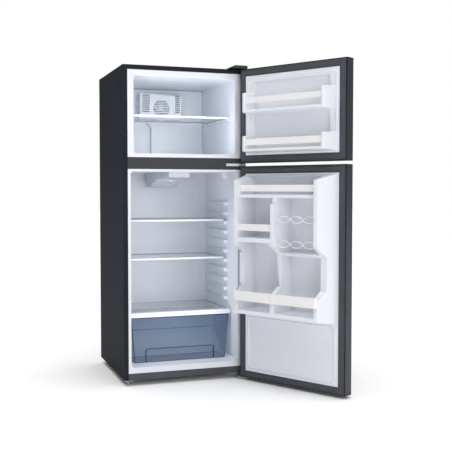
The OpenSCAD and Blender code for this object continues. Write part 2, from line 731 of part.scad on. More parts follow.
module lamp() at_front() translate([0, lamp_y + 60, fridge_z1 - 14]) color("#fff6dc") {
    rod_y([0, 26], 7);
    sphere(8);
}
module temperature_knob() at_front() translate([0, knob_y, 0]) color("#f6f7f9") {
    translate([0, 0, fridge_z1 - 44]) cylinder(h = 9, r = 15);
    translate([0, 0, fridge_z1 - 36]) cylinder(h = 12, r = 5);
    box([-2, 2], [-15, 15], [fridge_z1 - 50, fridge_z1 - 43]);
}
module door_switch_button() at_front() color("#e8e9eb") translate([switch_x, 0, switch_z])
    rod_y([70, 95], button_r);

// ---- Door parts shared by both doors ----
module door_plan(s) {
    rect([-half + s, half - s], [outer_y + door_edge_r, inner_y]);
    rect([-half + door_edge_r, half - door_edge_r], [outer_y + s, outer_y + door_edge_r + 1]);
    for (side = [1, -1]) translate([side * (half - door_edge_r), outer_y + door_edge_r])
        circle(door_edge_r - s);
}
// The skin is folded back over the foam along both sides of the door
module skin_returns() both_sides() rect([half - return_w, half - skin_t / 2],
    [inner_y - skin_t, inner_y]);
module door_skin(z) {
    difference() {
        along_z(z) door_plan(0);
        along_z([z[0] - 1, z[1] + 1]) {
            door_plan(skin_t);
            rect([-half + skin_t, half - skin_t], [outer_y + door_edge_r, inner_y + 1]);
        }
    }
    along_z(z) skin_returns();
}
module boss_space(z) translate([hinge_x - 3, hinge_y, z[0]])
    cylinder(h = z[1] - z[0], r = boss_r - 1.5);
// A cap over z, whose boss goes on to boss_to; its bore is for a hinge pin
module door_cap(z, boss_to) difference() {
    low = min(z[0], boss_to);
    high = max(z[1], boss_to);
    union() {
        along_z(z) door_plan(0);
        boss_space([low, high]);
    }
    translate([hinge_x, hinge_y, low + (boss_to < z[0] ? 1 : -1)])
        cylinder(h = high - low, r = pin_r + pin_clear);
}
module door_seal(z) {
    for (part = [[seal_inset, seal_w, -3.2], [seal_inset + 4, seal_w - 9, -seal_clear]])
        along_y([inner_y + liner_t, part[2]]) difference() {
            rect([-half + part[0], half - part[0]], [z[0] + part[0], z[1] - part[0]]);
            rect([-half + part[0] + part[1], half - part[0] - part[1]],
                [z[0] + part[0] + part[1], z[1] - part[0] - part[1]]);
        }
}
// The flat sheet of a door liner and the raised field inside the seal
module liner_sheet(z) {
    box([-half + sheet_edge, half - sheet_edge], [inner_y, inner_y + liner_t],
        [z[0] + sheet_edge, z[1] - sheet_edge]);
    box([-half + liner_edge, half - liner_edge], [inner_y, inner_y + 2 * liner_t],
        [z[0] + liner_edge, z[1] - liner_edge]);
}
// Plan of the dykes, w to each side, leaning in by lean from the sheet to their front at depth d
module dyke_plan(w, lean, d, s) polygon([[-w + s, inner_y], [w - s, inner_y],
    [w - lean - s, d - s], [-w + lean + s, d - s]]);
// Hollow rooms between the dykes: each is [x0, x1, z0, z1], grown by g, open to the front
module rooms(list, g) for (r = list)
    box([r[0] - g, r[1] + g], [inner_y - recess_d - g, cab_d], [r[2] - g, r[3] + g]);

// ---- Freezer door ----
top_door = [top_door_z0, top_door_z1];
top_skin = [top_door_z0 + cap_h, top_door_z1 - cap_h];
room_half = fridge_half - dyke_w;
freezer_room_half = freezer_half - 37.3;
freezer_racks = [[top_door_z0 + 46, 77], [top_door_z1 - 219, 96]];
rack_floor = 17;
freezer_rooms = [for (i = [0, 1]) [-freezer_room_half, freezer_room_half,
    freezer_racks[i][0] + rack_floor, i == 0 ? freezer_racks[1][0] - 4 : top_door_z1 - liner_edge - 28]];
module freezer_dykes(s) for (r = freezer_racks) intersection() {
    along_x([-half, half]) polygon([[inner_y, r[0] + s], [freezer_rack_d - s, r[0] + 4 + s],
        [freezer_rack_d - s, r[0] + r[1] - s], [inner_y, r[0] + r[1] + 6 - s]]);
    along_z(top_door) dyke_plan(freezer_half - 4.3, 17, freezer_rack_d, s);
}
module freezer_door_foam_shape() difference() {
    union() {
        along_z(top_skin) door_plan(skin_t);
        freezer_dykes(liner_t);
    }
    rooms(freezer_rooms, liner_t);
    along_z(top_skin) skin_returns();
    boss_space([top_door_z0, top_door_z0 + cap_h + boss_h]);
    boss_space([top_door_z1 - cap_h - boss_h, top_door_z1]);
}
module liner_shell(z, list) {
    liner_sheet(z);
    intersection() {
        rooms(list, liner_t);
        box([-half, half], [outer_y, inner_y + liner_t], z);
    }
}
module freezer_door_skin() at_front() swing() color("#9a9c9e") door_skin(top_skin);
module freezer_door_foam() at_front() swing() color("#e9d9a8") freezer_door_foam_shape();
module freezer_door_liner() at_front() swing() color(white) difference() {
    union() {
        liner_shell(top_door, freezer_rooms);
        freezer_dykes(0);
    }
    rooms(freezer_rooms, 0);
    freezer_door_foam_shape();
}
module freezer_door_seal() at_front() swing() color("#444852") door_seal(top_door);
module freezer_door_top_cap() at_front() swing() color("#121316")
    door_cap([top_skin[1], top_door_z1], top_skin[1] - boss_h);
module freezer_door_bottom_cap() at_front() swing() color("#121316")
    door_cap([top_door_z0, top_skin[0]], top_skin[0] + boss_h);
module freezer_door_bars() at_front() swing() color("#f4f2f2") for (r = freezer_racks)
    retaining_bar([-freezer_room_half + rest_gap, freezer_room_half - rest_gap], freezer_rack_d - 6,
        [r[0] + (r[1] > 80 ? 47 : 33), r[0] + (r[1] > 80 ? 74 : 63)]);
// A flat bar with a lip along its top and bottom, its front face at depth y
module retaining_bar(x, y, z) {
    box(x, [y - bar_t, y], z);
    for (lip = [z[0], z[1] - bar_t]) box(x, [y - bar_t - 4, y - bar_t + 0.5], [lip, lip + bar_t]);
}

// ---- Fridge door ----
low_door = [low_door_z0, low_door_z1];
low_skin = [low_door_z0 + cap_h, low_door_z1 - pocket_cap_h];
ledge_t = 15;
dairy_z = low_door_z1 - 149;
condiment_z = low_door_z1 - 353;
can_z = low_door_z1 - 411;
bottle_z = low_door_z0 + 333;
fridge_rooms = [[-room_half, room_half, dairy_z + ledge_t, low_door_z1 - 50],
    [upright_w, room_half, condiment_z + 20, dairy_z], [-room_half, 0, can_z + ledge_t, dairy_z],
    [upright_w, room_half, bottle_z + 18, condiment_z], [-room_half, 0, bottle_z + 18, can_z]];
function dyke_side(s) = [[inner_y, low_door_z1 - 39 - s], [fridge_rack_d - s, low_door_z1 - 70 - 1.2 * s],
    [fridge_rack_d - s, low_door_z1 - 365 + 0.6 * s], [fridge_waist_d - s, can_z + 6 + 0.6 * s],
    [fridge_waist_d - s, low_door_z0 + 467 - 0.5 * s], [fridge_rack_d - s, low_door_z0 + 430 - 0.5 * s],
    [fridge_rack_d - s, bottle_z + s], [inner_y, bottle_z - 18 + s]];
module fridge_dykes(s) difference() {
    intersection() {
        along_x([-half, half]) polygon(dyke_side(s));
        along_z(low_door) dyke_plan(fridge_half - 2.8, 29, fridge_rack_d, s);
    }
    // The dairy ledge and the top of the upright stand back from the dykes
    box([-room_half - s, room_half + s], [fridge_rack_d - 20 - s, cab_d], [dairy_z - 28 - s, cab_h]);
}
module fridge_door_foam_shape() difference() {
    union() {
        along_z(low_skin) door_plan(skin_t);
        fridge_dykes(liner_t);
    }
    rooms(fridge_rooms, liner_t);
    along_z(low_skin) skin_returns();
    boss_space([low_door_z0, low_skin[0] + boss_h]);
    boss_space([low_skin[1] - 4, low_door_z1]);
}
module fridge_door_skin() at_front() swing() color("#7d7f82") door_skin(low_skin);
module fridge_door_foam() at_front() swing() color("#e9d9a8") fridge_door_foam_shape();
module fridge_door_liner() at_front() swing() color(white) difference() {
    union() {
        liner_shell(low_door, fridge_rooms);
        fridge_dykes(0);
    }
    rooms(fridge_rooms, 0);
    fridge_door_foam_shape();
}
module fridge_door_seal() at_front() swing() color("#444852") door_seal(low_door);
pocket_x = [-half + 30, -half + 150];
module fridge_door_top_cap() at_front() swing() color("#121316") difference() {
    door_cap([low_skin[1], low_door_z1], low_skin[1] - 4);
    box(pocket_x, [outer_y + 16, outer_y + 42], [low_skin[1] + 5, low_door_z1 + 1]);
}
module fridge_door_bottom_cap() at_front() swing() color("#121316")
    door_cap([low_door_z0, low_skin[0]], low_skin[0] + boss_h);

module dairy_bar() at_front() swing() color("#f6f5f0")
    retaining_bar([-room_half + rest_gap, room_half - rest_gap], fridge_rack_d - 21,
        [dairy_z + 29, dairy_z + 59]);
module condiment_bar() at_front() swing() color("#f6f5f0")
    retaining_bar([upright_w + rest_gap, room_half - rest_gap], fridge_rack_d - 9,
        [condiment_z + 52, condiment_z + 83]);

// The wide bar stands in front of the dykes and curves back to them at its ends
bottle_bar_r = 12;
bottle_bar_half = half - 66;
bottle_bar_y = [fridge_rack_d - 4, fridge_rack_d + 13];
bottle_bar_corner = [bottle_bar_half - bottle_bar_r, bottle_bar_y[1] - bottle_bar_r];
module bottle_bar_plan(s) {
    rect([-bottle_bar_corner[0], bottle_bar_corner[0]], [bottle_bar_y[0], bottle_bar_y[1] - s]);
    rect([-bottle_bar_half + s, bottle_bar_half - s], [bottle_bar_y[0], bottle_bar_corner[1]]);
    for (side = [1, -1]) translate([side * bottle_bar_corner[0], bottle_bar_corner[1]])
        circle(bottle_bar_r - s);
}
module bottle_bar() at_front() swing() color("#f4f5f8") difference() {
    along_z([low_door_z0 + 396, low_door_z0 + 441]) bottle_bar_plan(0);
    along_z([low_door_z0 + 390, low_door_z0 + 450]) bottle_bar_plan(bar_t);
    box([-half, half], [0, fridge_rack_d + rest_gap], [0, cab_h]);
    box([upright_w / 2 - 1.5, upright_w / 2 + 1.5], [0, cab_d], [0, cab_h]);
}

// Each can rack is two wavy wires of round arcs, one behind the other, welded where they cross
arcs = 3;
arc_rise = 15;
weld_r = 2.6;
rack_x0 = -room_half + 3;
can_pitch = (room_half - 6) / arcs;
arc_r = (can_pitch * can_pitch / 4 + arc_rise * arc_rise) / (2 * arc_rise);
arc_a = asin(can_pitch / 2 / arc_r);
arc_cut = 0.7;
rack_y = fridge_rack_d - 24;
module wave_wire(up) for (i = [0 : arcs - 1]) {
    s = ((i % 2 == 0) ? 1 : -1) * up;
    translate([rack_x0 + (i + 0.5) * can_pitch, 0, s * (arc_rise - arc_r)]) rotate([90, 0, 0])
        rotate([0, 0, s * 90 - arc_a + arc_cut]) rotate_extrude(angle = 2 * (arc_a - arc_cut))
        translate([arc_r, 0]) circle(wire_r);
}
module can_racks() at_front() swing() color("#f2f3f5") for (z = [can_z + 56, can_z + 166])
    translate([0, rack_y, z]) {
        wave_wire(1);
        translate([0, 2 * wire_r + 0.3, 0]) wave_wire(-1);
        for (i = [0 : arcs]) translate([rack_x0 + i * can_pitch, 0, 0])
            rod_y([-wire_r - 0.4, 3 * wire_r + 0.7], weld_r);
        for (x = [rack_x0, rack_x0 + arcs * can_pitch]) box([x - 1.2, x + 1.2], [-1, 4.3], [-20, 20]);
    }

cabinet_wrapper();
rear_panel();
machine_deck();
base_rail();
mullion_cover();
hole_plugs();
cabinet_foam();
freezer_liner();
fridge_liner();
top_hinge();
hinge_cover();
middle_hinge();
bottom_hinge();
leg_left();
leg_right();
roller_left();
roller_right();
compressor();
compressor_mounts();
relay_cover();
refrigerant_pipes();
condenser();
evaporator();
defrost_heater();
fan_motor();
evaporator_fan();
drain_pan();
drain_tube();
freezer_duct_cover();
freezer_shelf_glass();
freezer_shelf_trim();
upper_shelf_glass();
upper_shelf_trim();
lower_shelf_glass();
lower_shelf_trim();
crisper_cover_glass();
crisper_cover_trim();
crisper_drawer();
ceiling_housing();
temperature_knob();
lamp_cover();
lamp();
door_switch_button();
freezer_door_skin();
freezer_door_liner();
freezer_door_foam();
freezer_door_seal();
freezer_door_top_cap();
freezer_door_bottom_cap();
freezer_door_bars();
fridge_door_skin();
fridge_door_liner();
fridge_door_foam();
fridge_door_seal();
fridge_door_top_cap();
fridge_door_bottom_cap();
dairy_bar();
condiment_bar();
bottle_bar();
can_racks();
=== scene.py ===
# %% [markdown]
# # A top freezer refrigerator with both doors open
# The mechanical model gives every part its exact place and size. This lesson dresses it: each
# part gets a finish made of nodes, plain parts are swapped for softer, more detailed ones, and
# small fittings such as seals, screws and labels are added. Everything is in metres.

# %% Load the mechanical model
import json
import math

import bmesh
import bpy
from mathutils import Matrix, Vector


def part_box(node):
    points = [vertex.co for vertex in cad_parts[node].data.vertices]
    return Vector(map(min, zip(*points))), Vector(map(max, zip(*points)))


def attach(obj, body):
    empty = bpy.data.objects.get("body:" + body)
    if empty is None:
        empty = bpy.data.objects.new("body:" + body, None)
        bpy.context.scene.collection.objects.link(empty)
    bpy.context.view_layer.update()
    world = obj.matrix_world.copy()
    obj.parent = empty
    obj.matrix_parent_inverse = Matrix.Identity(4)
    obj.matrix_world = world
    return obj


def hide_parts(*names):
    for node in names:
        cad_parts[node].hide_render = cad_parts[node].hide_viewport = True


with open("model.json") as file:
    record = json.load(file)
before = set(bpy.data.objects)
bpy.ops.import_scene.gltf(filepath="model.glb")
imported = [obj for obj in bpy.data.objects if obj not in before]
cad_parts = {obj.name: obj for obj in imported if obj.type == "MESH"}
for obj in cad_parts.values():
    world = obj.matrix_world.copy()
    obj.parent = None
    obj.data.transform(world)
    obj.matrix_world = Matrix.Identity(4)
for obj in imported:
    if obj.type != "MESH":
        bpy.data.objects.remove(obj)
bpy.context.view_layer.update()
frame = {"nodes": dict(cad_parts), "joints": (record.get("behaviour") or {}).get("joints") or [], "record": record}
nodes = frame["nodes"]
joints = {joint["name"]: joint for joint in frame["joints"]}
body_of_node = {n: b for b, names in frame["record"]["behaviour"]["bodies"].items() for n in names}
slot_of_node = {s["node"]: s["material_slot"] for s in frame["record"]["subparts"]}
MM = 0.001
print("parts:", len(nodes), "joints:", len(joints))

# %% [markdown]
# ## Camera
# A long lens from the left front, at chest height and tipped down a little, keeps the cabinet's
# upright edges almost parallel, as in a catalogue picture.

# %% Camera
camera_lens = bpy.data.cameras.new("camera")
camera_lens.sensor_width = 36
camera_lens.lens = 65.4
camera = bpy.data.objects.new("camera", camera_lens)
camera.location = (-1.103, -3.789, 0.926)
camera.rotation_euler = (math.radians(90 - 2.61), 0, math.radians(-19.23))
bpy.context.scene.collection.objects.link(camera)
bpy.context.scene.camera = camera
print("camera at", tuple(camera.location))

# %% [markdown]
# ## Floor and light
# A studio sweep is one pale surface under even light. The world is brighter above than at the
# horizon and darker on the left, as a room with soft boxes is, and gives the fill. A large
# panel in front reaches into the compartments, a small high one on the left draws the dark side
# out, and a faint one at each opening stands for light that the white doors throw back. A very
# wide sun straight above lights the floor evenly to its edge. The Standard view keeps white
# plastic white. The sky's nodes need two small tools that the finishes use as well.

# %% Tools for linking nodes
def maths(group, kind, first, second=None, clamp=False):
    """One Math node; each argument is a number or a socket."""
    node = group.nodes.new("ShaderNodeMath")
    node.operation = kind
    node.use_clamp = clamp
    for socket, value in zip(node.inputs, (first, second)):
        if isinstance(value, (int, float)):
            socket.default_value = value
        elif value is not None:
            group.links.new(value, socket)
    return node.outputs["Value"]


def stretch(group, value, low, high, to_low=0.0, to_high=1.0):
    """Map a value from low..high to to_low..to_high."""
    node = group.nodes.new("ShaderNodeMapRange")
    group.links.new(value, node.inputs["Value"])
    ends = {"From Min": low, "From Max": high, "To Min": to_low, "To Max": to_high}
    for label, number in ends.items():
        node.inputs[label].default_value = number
    return node.outputs["Result"]


# %% Studio sweep
bpy.context.scene.view_settings.view_transform = "Standard"
world = bpy.data.worlds.new("studio")
bpy.context.scene.world = world
world.use_nodes = True
sky = world.node_tree
sky_light = sky.nodes["Background"]
direction = sky.nodes.new("ShaderNodeSeparateXYZ")
sky.links.new(sky.nodes.new("ShaderNodeTexCoord").outputs["Generated"], direction.inputs["Vector"])
brighter_above = stretch(sky, direction.outputs["Z"], 0.0, 0.9, 0.22, 0.62)
brighter_right = stretch(sky, direction.outputs["X"], -0.9, 0.6, 0.40, 1.25)
both = maths(sky, "MULTIPLY", brighter_above, brighter_right)
camera_ray = sky.nodes.new("ShaderNodeLightPath").outputs["Is Camera Ray"]
sky.links.new(maths(sky, "MAXIMUM", both, camera_ray), sky_light.inputs["Strength"])
sky_light.inputs["Color"].default_value = (1.0, 1.0, 1.0, 1)

FLOOR = 30  # half its width
floor_mesh = bpy.data.meshes.new("floor")
floor_mesh.from_pydata([(-FLOOR, -FLOOR, 0), (FLOOR, -FLOOR, 0), (FLOOR, FLOOR, 0),
                        (-FLOOR, FLOOR, 0)], [], [(0, 1, 2, 3)])
floor = bpy.data.objects.new("floor", floor_mesh)
bpy.context.scene.collection.objects.link(floor)
floor_paint = bpy.data.materials.new("floor_paint")
floor_paint.use_nodes = True
floor_shader = floor_paint.node_tree.nodes["Principled BSDF"]
floor_shader.inputs["Base Color"].default_value = (0.94, 0.94, 0.94, 1)
floor_shader.inputs["Roughness"].default_value = 1.0
floor_shader.inputs["Specular IOR Level"].default_value = 0.0
floor_mesh.materials.append(floor_paint)
print("sweep:", floor.name, 2 * FLOOR, "m wide")


# %% Lights
def panel_light(name, place, aim, size, watts):
    """A square soft box that shines from place towards aim."""
    data = bpy.data.lights.new(name, "AREA")
    data.size = size
    data.energy = watts
    light = bpy.data.objects.new(name, data)
    light.location = place
    light.rotation_euler = (Vector(aim) - Vector(place)).to_track_quat("-Z", "Y").to_euler()
    bpy.context.scene.collection.objects.link(light)
    return light


panel_light("front_panel", (0.45, -4.4, 1.7), (0.0, 0.0, 0.8), 2.4, 54)
panel_light("left_panel", (-1.5, -0.6, 3.0), (-0.2, 0.2, 1.2), 0.7, 11)
for room, watts in (("freezer_liner", 0.62), ("fridge_liner", 0.85)):
    low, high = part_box(room)
    middle = (low[2] + high[2]) / 2
    fill = panel_light(room + "_fill", (0, low[1] - 5 * MM, middle), (0, high[1], middle), 0.45, watts)
    fill.data.shape = "RECTANGLE"
    fill.data.size_y = 0.8 * (high[2] - low[2])
    fill.data.color = (0.84, 0.91, 1.0)
    fill.visible_camera = False
overhead = bpy.data.lights.new("overhead", "SUN")
overhead.energy = 2.0
overhead.angle = math.radians(70)
bpy.context.scene.collection.objects.link(bpy.data.objects.new("overhead", overhead))

# %% [markdown]
# ## Shader groups
# Several finishes share an effect, so each effect is one node group with named inputs. A
# group only puts out colours, masks and heights; the shader stays in the material. All of
# them read object coordinates, which are metres here, so a grain has its real size.

# %% Tools for building node groups
def start_group(name, inputs, outputs):
    """A shader group with the sockets given as (name, kind, value); returns it and its two ends."""
    group = bpy.data.node_groups.new(name, "ShaderNodeTree")
    for label, kind, value in inputs:
        socket = group.interface.new_socket(label, in_out="INPUT", socket_type="NodeSocket" + kind)
        socket.default_value = value
    for label, kind in outputs:
        group.interface.new_socket(label, in_out="OUTPUT", socket_type="NodeSocket" + kind)
    return group, group.nodes.new("NodeGroupInput"), group.nodes.new("NodeGroupOutput")


def put_out(group, ends_out, **values):
    """Link the values to the group's outputs of the same names."""
    for label, value in values.items():
        group.links.new(value, ends_out.inputs[label.replace("_", " ")])
    print("group:", group.name)


def noise(group, place, scale, detail=3.0, roughness=0.5):
    """A noise texture at place whose scale is a number or a socket."""
    texture = group.nodes.new("ShaderNodeTexNoise")
    texture.inputs["Detail"].default_value = detail
    texture.inputs["Roughness"].default_value = roughness
    group.links.new(place, texture.inputs["Vector"])
    if isinstance(scale, (int, float)):
        texture.inputs["Scale"].default_value = scale
    else:
        group.links.new(scale, texture.inputs["Scale"])
    return texture.outputs["Fac"]


def blend(group, factor, first, second):
    """A colour mix from first to second; each colour is a socket or a tuple."""
    node = group.nodes.new("ShaderNodeMix")
    node.data_type = "RGBA"
    for label, value in (("Factor", factor), ("A", first), ("B", second)):
        if isinstance(value, bpy.types.NodeSocket):
            group.links.new(value, node.inputs[label])
        else:
            node.inputs[label].default_value = value
    return node.outputs["Result"]


def object_place(group, stretch_by=(1, 1, 1)):
    """Object coordinates in metres, stretched along the axes."""
    source = group.nodes.new("ShaderNodeTexCoord").outputs["Object"]
    mapping = group.nodes.new("ShaderNodeMapping")
    mapping.inputs["Scale"].default_value = stretch_by
    group.links.new(source, mapping.inputs["Vector"])
    return mapping.outputs["Vector"]


# %% [markdown]
# **Tone drift.** No moulded or painted sheet has one exact colour: it wanders a little over a
# hand's breadth. Broad noise mixes the colour with a slightly darker one.

# %% Group: tone drift
tone_drift, ends_in, ends_out = start_group(
    "Tone drift",
    [("Colour", "Color", (0.8, 0.8, 0.8, 1)), ("Depth", "Float", 0.1), ("Scale", "Float", 6.0)],
    [("Colour", "Color"), ("Cloud", "Float")])
cloud = noise(tone_drift, object_place(tone_drift), ends_in.outputs["Scale"], 2.0, 0.4)
cloud = stretch(tone_drift, cloud, 0.2, 0.8)
amount = maths(tone_drift, "MULTIPLY", cloud, ends_in.outputs["Depth"])
darker = blend(tone_drift, amount, ends_in.outputs["Colour"], (0.0, 0.0, 0.0, 1))
put_out(tone_drift, ends_out, Colour=darker, Cloud=cloud)

# %% [markdown]
# **Moulded grain.** Vacuum-formed liners and injection-moulded trims have an orange-peel skin
# about a millimetre across. The height goes to a Bump node in the material.

# %% Group: moulded grain
moulded_grain, ends_in, ends_out = start_group(
    "Moulded grain",
    [("Scale", "Float", 900.0), ("Coarse share", "Float", 0.35)],
    [("Height", "Float")])
place = object_place(moulded_grain)
fine = noise(moulded_grain, place, ends_in.outputs["Scale"], 2.0)
coarse_scale = maths(moulded_grain, "MULTIPLY", ends_in.outputs["Scale"], 0.12)
coarse = noise(moulded_grain, place, coarse_scale, 2.0)
coarse = maths(moulded_grain, "MULTIPLY", coarse, ends_in.outputs["Coarse share"])
put_out(moulded_grain, ends_out, Height=maths(moulded_grain, "ADD", fine, coarse))

# %% [markdown]
# ** Pebbled paint.** The cabinet's steel is embossed with a fine pebble before it is painted,
# which hides fingerprints. Voronoi cells give rounded pebbles; noise would look cloudy. The
# valleys between the pebbles get a darker colour, which is painted shade.

# %% Group: pebbled paint
pebbled, ends_in, ends_out = start_group(
    "Pebbled paint",
    [("Colour", "Color", (0.05, 0.05, 0.06, 1)), ("Valley colour", "Color", (0.02, 0.02, 0.03, 1)),
     ("Pebbles per metre", "Float", 420.0)],
    [("Colour", "Color"), ("Height", "Float")])
cells = pebbled.nodes.new("ShaderNodeTexVoronoi")
cells.feature = "SMOOTH_F1"
cells.inputs["Smoothness"].default_value = 0.7
pebbled.links.new(object_place(pebbled), cells.inputs["Vector"])
pebbled.links.new(ends_in.outputs["Pebbles per metre"], cells.inputs["Scale"])
pebble = stretch(pebbled, cells.outputs["Distance"], 0.1, 0.6, 1.0, 0.0)
# The darker valley colour between the pebbles is painted shade.
painted = blend(pebbled, pebble, ends_in.outputs["Valley colour"], ends_in.outputs["Colour"])
put_out(pebbled, ends_out, Colour=painted, Height=pebble)

# %% [markdown]
# **Brushed grain.** Door steel is brushed along its height. Noise squeezed hard along Z draws
# the long hairlines, and a second, longer set gives the broad bands.

# %% Group: brushed grain
brushed, ends_in, ends_out = start_group(
    "Brushed grain",
    [("Colour", "Color", (0.4, 0.4, 0.4, 1)), ("Line colour", "Color", (0.3, 0.3, 0.3, 1)),
     ("Contrast", "Float", 0.5)],
    [("Colour", "Color"), ("Roughness shift", "Float"), ("Height", "Float")])
hairs = noise(brushed, object_place(brushed, (1.0, 1.0, 0.012)), 2600.0, 2.0)
bands = noise(brushed, object_place(brushed, (1.0, 1.0, 0.03)), 160.0, 3.0)
lines = maths(brushed, "ADD", maths(brushed, "MULTIPLY", hairs, 0.7),
              maths(brushed, "MULTIPLY", bands, 0.3))
mask = stretch(brushed, lines, 0.38, 0.62)
depth = maths(brushed, "MULTIPLY", mask, ends_in.outputs["Contrast"])
lined = blend(brushed, depth, ends_in.outputs["Colour"], ends_in.outputs["Line colour"])
put_out(brushed, ends_out, Colour=lined, Height=lines,
        Roughness_shift=stretch(brushed, lines, 0.3, 0.7, -0.06, 0.06))

# %% [markdown]
# **Settled dust.** Dust lies on faces that look up, in patches, and it is paler and rougher
# than what it covers. The mask is the normal's upward part times noise.

# %% Group: settled dust
settled_dust, ends_in, ends_out = start_group(
    "Settled dust",
    [("Colour", "Color", (0.1, 0.1, 0.1, 1)), ("Amount", "Float", 0.3), ("Scale", "Float", 40.0)],
    [("Colour", "Color"), ("Mask", "Float")])
facing = settled_dust.nodes.new("ShaderNodeNewGeometry").outputs["Normal"]
split = settled_dust.nodes.new("ShaderNodeSeparateXYZ")
settled_dust.links.new(facing, split.inputs["Vector"])
upward = stretch(settled_dust, split.outputs["Z"], 0.2, 0.95)
patches = stretch(settled_dust, noise(settled_dust, object_place(settled_dust),
                                      ends_in.outputs["Scale"], 5.0), 0.35, 0.7)
dust = maths(settled_dust, "MULTIPLY", maths(settled_dust, "MULTIPLY", upward, patches),
             ends_in.outputs["Amount"], clamp=True)
DUST_COLOUR = (0.42, 0.40, 0.37, 1)
put_out(settled_dust, ends_out, Mask=dust,
        Colour=blend(settled_dust, dust, ends_in.outputs["Colour"], DUST_COLOUR))

# %% [markdown]
# **Spangle.** Hot-dip galvanised sheet shows flat crystals a few millimetres wide, each with
# its own tint.

# %% Group: zinc spangle
spangle, ends_in, ends_out = start_group(
    "Zinc spangle",
    [("Bright", "Color", (0.62, 0.63, 0.65, 1)), ("Dull", "Color", (0.45, 0.46, 0.48, 1)),
     ("Crystals per metre", "Float", 160.0)],
    [("Colour", "Color"), ("Roughness shift", "Float")])
crystal = spangle.nodes.new("ShaderNodeTexVoronoi")
spangle.links.new(object_place(spangle), crystal.inputs["Vector"])
spangle.links.new(ends_in.outputs["Crystals per metre"], crystal.inputs["Scale"])
tint = spangle.nodes.new("ShaderNodeSeparateColor")
spangle.links.new(crystal.outputs["Color"], tint.inputs["Color"])
tinted = blend(spangle, tint.outputs["Red"], ends_in.outputs["Bright"], ends_in.outputs["Dull"])
put_out(spangle, ends_out, Colour=tinted,
        Roughness_shift=stretch(spangle, tint.outputs["Green"], 0.0, 1.0, -0.08, 0.08))

# %% [markdown]
# **Cut edge.** A sheet of glass or clear plastic is nearly invisible face on and coloured
# where the eye looks into its edge. The mask is 1 on faces that stand upright and 0 on the
# flat top and bottom.

# %% Group: cut edge
cut_edge, ends_in, ends_out = start_group(
    "Cut edge",
    [("Face colour", "Color", (0.9, 0.9, 0.9, 1)), ("Edge colour", "Color", (0.3, 0.5, 0.45, 1)),
     ("Face alpha", "Float", 0.3), ("Edge alpha", "Float", 0.9)],
    [("Colour", "Color"), ("Alpha", "Float")])
facing = cut_edge.nodes.new("ShaderNodeNewGeometry").outputs["True Normal"]
split = cut_edge.nodes.new("ShaderNodeSeparateXYZ")
cut_edge.links.new(facing, split.inputs["Vector"])
flat = maths(cut_edge, "ABSOLUTE", split.outputs["Z"])
edge = stretch(cut_edge, flat, 0.9, 0.3)
edged = blend(cut_edge, edge, ends_in.outputs["Face colour"], ends_in.outputs["Edge colour"])
span = maths(cut_edge, "SUBTRACT", ends_in.outputs["Edge alpha"], ends_in.outputs["Face alpha"])
alpha = maths(cut_edge, "ADD", ends_in.outputs["Face alpha"], maths(cut_edge, "MULTIPLY", edge, span))
put_out(cut_edge, ends_out, Colour=edged, Alpha=alpha)

# %% [markdown]
# ## Finishes
# A finish is one Principled shader. Values that are the same all over are set on the shader
# itself; what changes over the surface comes from the groups.

# %% Tools for finishes
finishes = {}


def finish(name, roughness, metallic=0.0, **constants):
    """A material with its constants set on the shader; returns its tree and its shader."""
    material = bpy.data.materials.new(name)
    material.use_nodes = True
    tree = material.node_tree
    shader = tree.nodes["Principled BSDF"]
    shader.inputs["Roughness"].default_value = roughness
    shader.inputs["Metallic"].default_value = metallic
    for label, value in constants.items():
        shader.inputs[label.replace("_", " ")].default_value = value
    finishes[name] = material
    return tree, shader


def add_group(tree, group, **values):
    """Put a group in a material and set its inputs; a value may be a socket."""
    node = tree.nodes.new("ShaderNodeGroup")
    node.node_tree = group
    for label, value in values.items():
        socket = node.inputs[label.replace("_", " ")]
        if isinstance(value, bpy.types.NodeSocket):
            tree.links.new(value, socket)
        else:
            socket.default_value = value
    return node


def bump(tree, shader, height, depth):
    """Raise the surface by height times depth, in metres."""
    node = tree.nodes.new("ShaderNodeBump")
    node.inputs["Distance"].default_value = depth
    node.inputs["Strength"].default_value = 1.0
    tree.links.new(height, node.inputs["Height"])
    tree.links.new(node.outputs["Normal"], shader.inputs["Normal"])


def grained(tree, shader, scale, depth):
    """Raise the surface with moulded grain, depth metres high."""
    bump(tree, shader, add_group(tree, moulded_grain, Scale=scale).outputs["Height"], depth)


def drifting(tree, shader, colour, depth, scale):
    """Base colour with tone drift; returns the cloud that it follows."""
    tone = add_group(tree, tone_drift, Colour=colour, Depth=depth, Scale=scale)
    tree.links.new(tone.outputs["Colour"], shader.inputs["Base Color"])
    return tone.outputs["Cloud"]


def shift_roughness(tree, shader, shift, base):
    """Roughness is base plus a shift that wanders over the surface."""
    tree.links.new(maths(tree, "ADD", shift, base, clamp=True), shader.inputs["Roughness"])


# %% [markdown]
# **White plastics.** The liners are glossy high-impact polystyrene, formed over a mould. Trims
# and shelves' edges are injection-moulded and a little cooler; the racks' bars have gone a
# shade warmer. One function makes them all, so that they differ only in numbers.

# %% White and dark plastics
def moulded_plastic(name, colour, roughness, grain, drift=0.03, depth=0.00001, **constants):
    """An opaque plastic; grain is how many grains lie along a metre, depth their height."""
    tree, shader = finish(name, roughness, **constants)
    cloud = drifting(tree, shader, colour, drift, 4.0)
    shift_roughness(tree, shader, stretch(tree, cloud, 0, 1, -0.03, 0.03), roughness)
    grained(tree, shader, grain, depth)


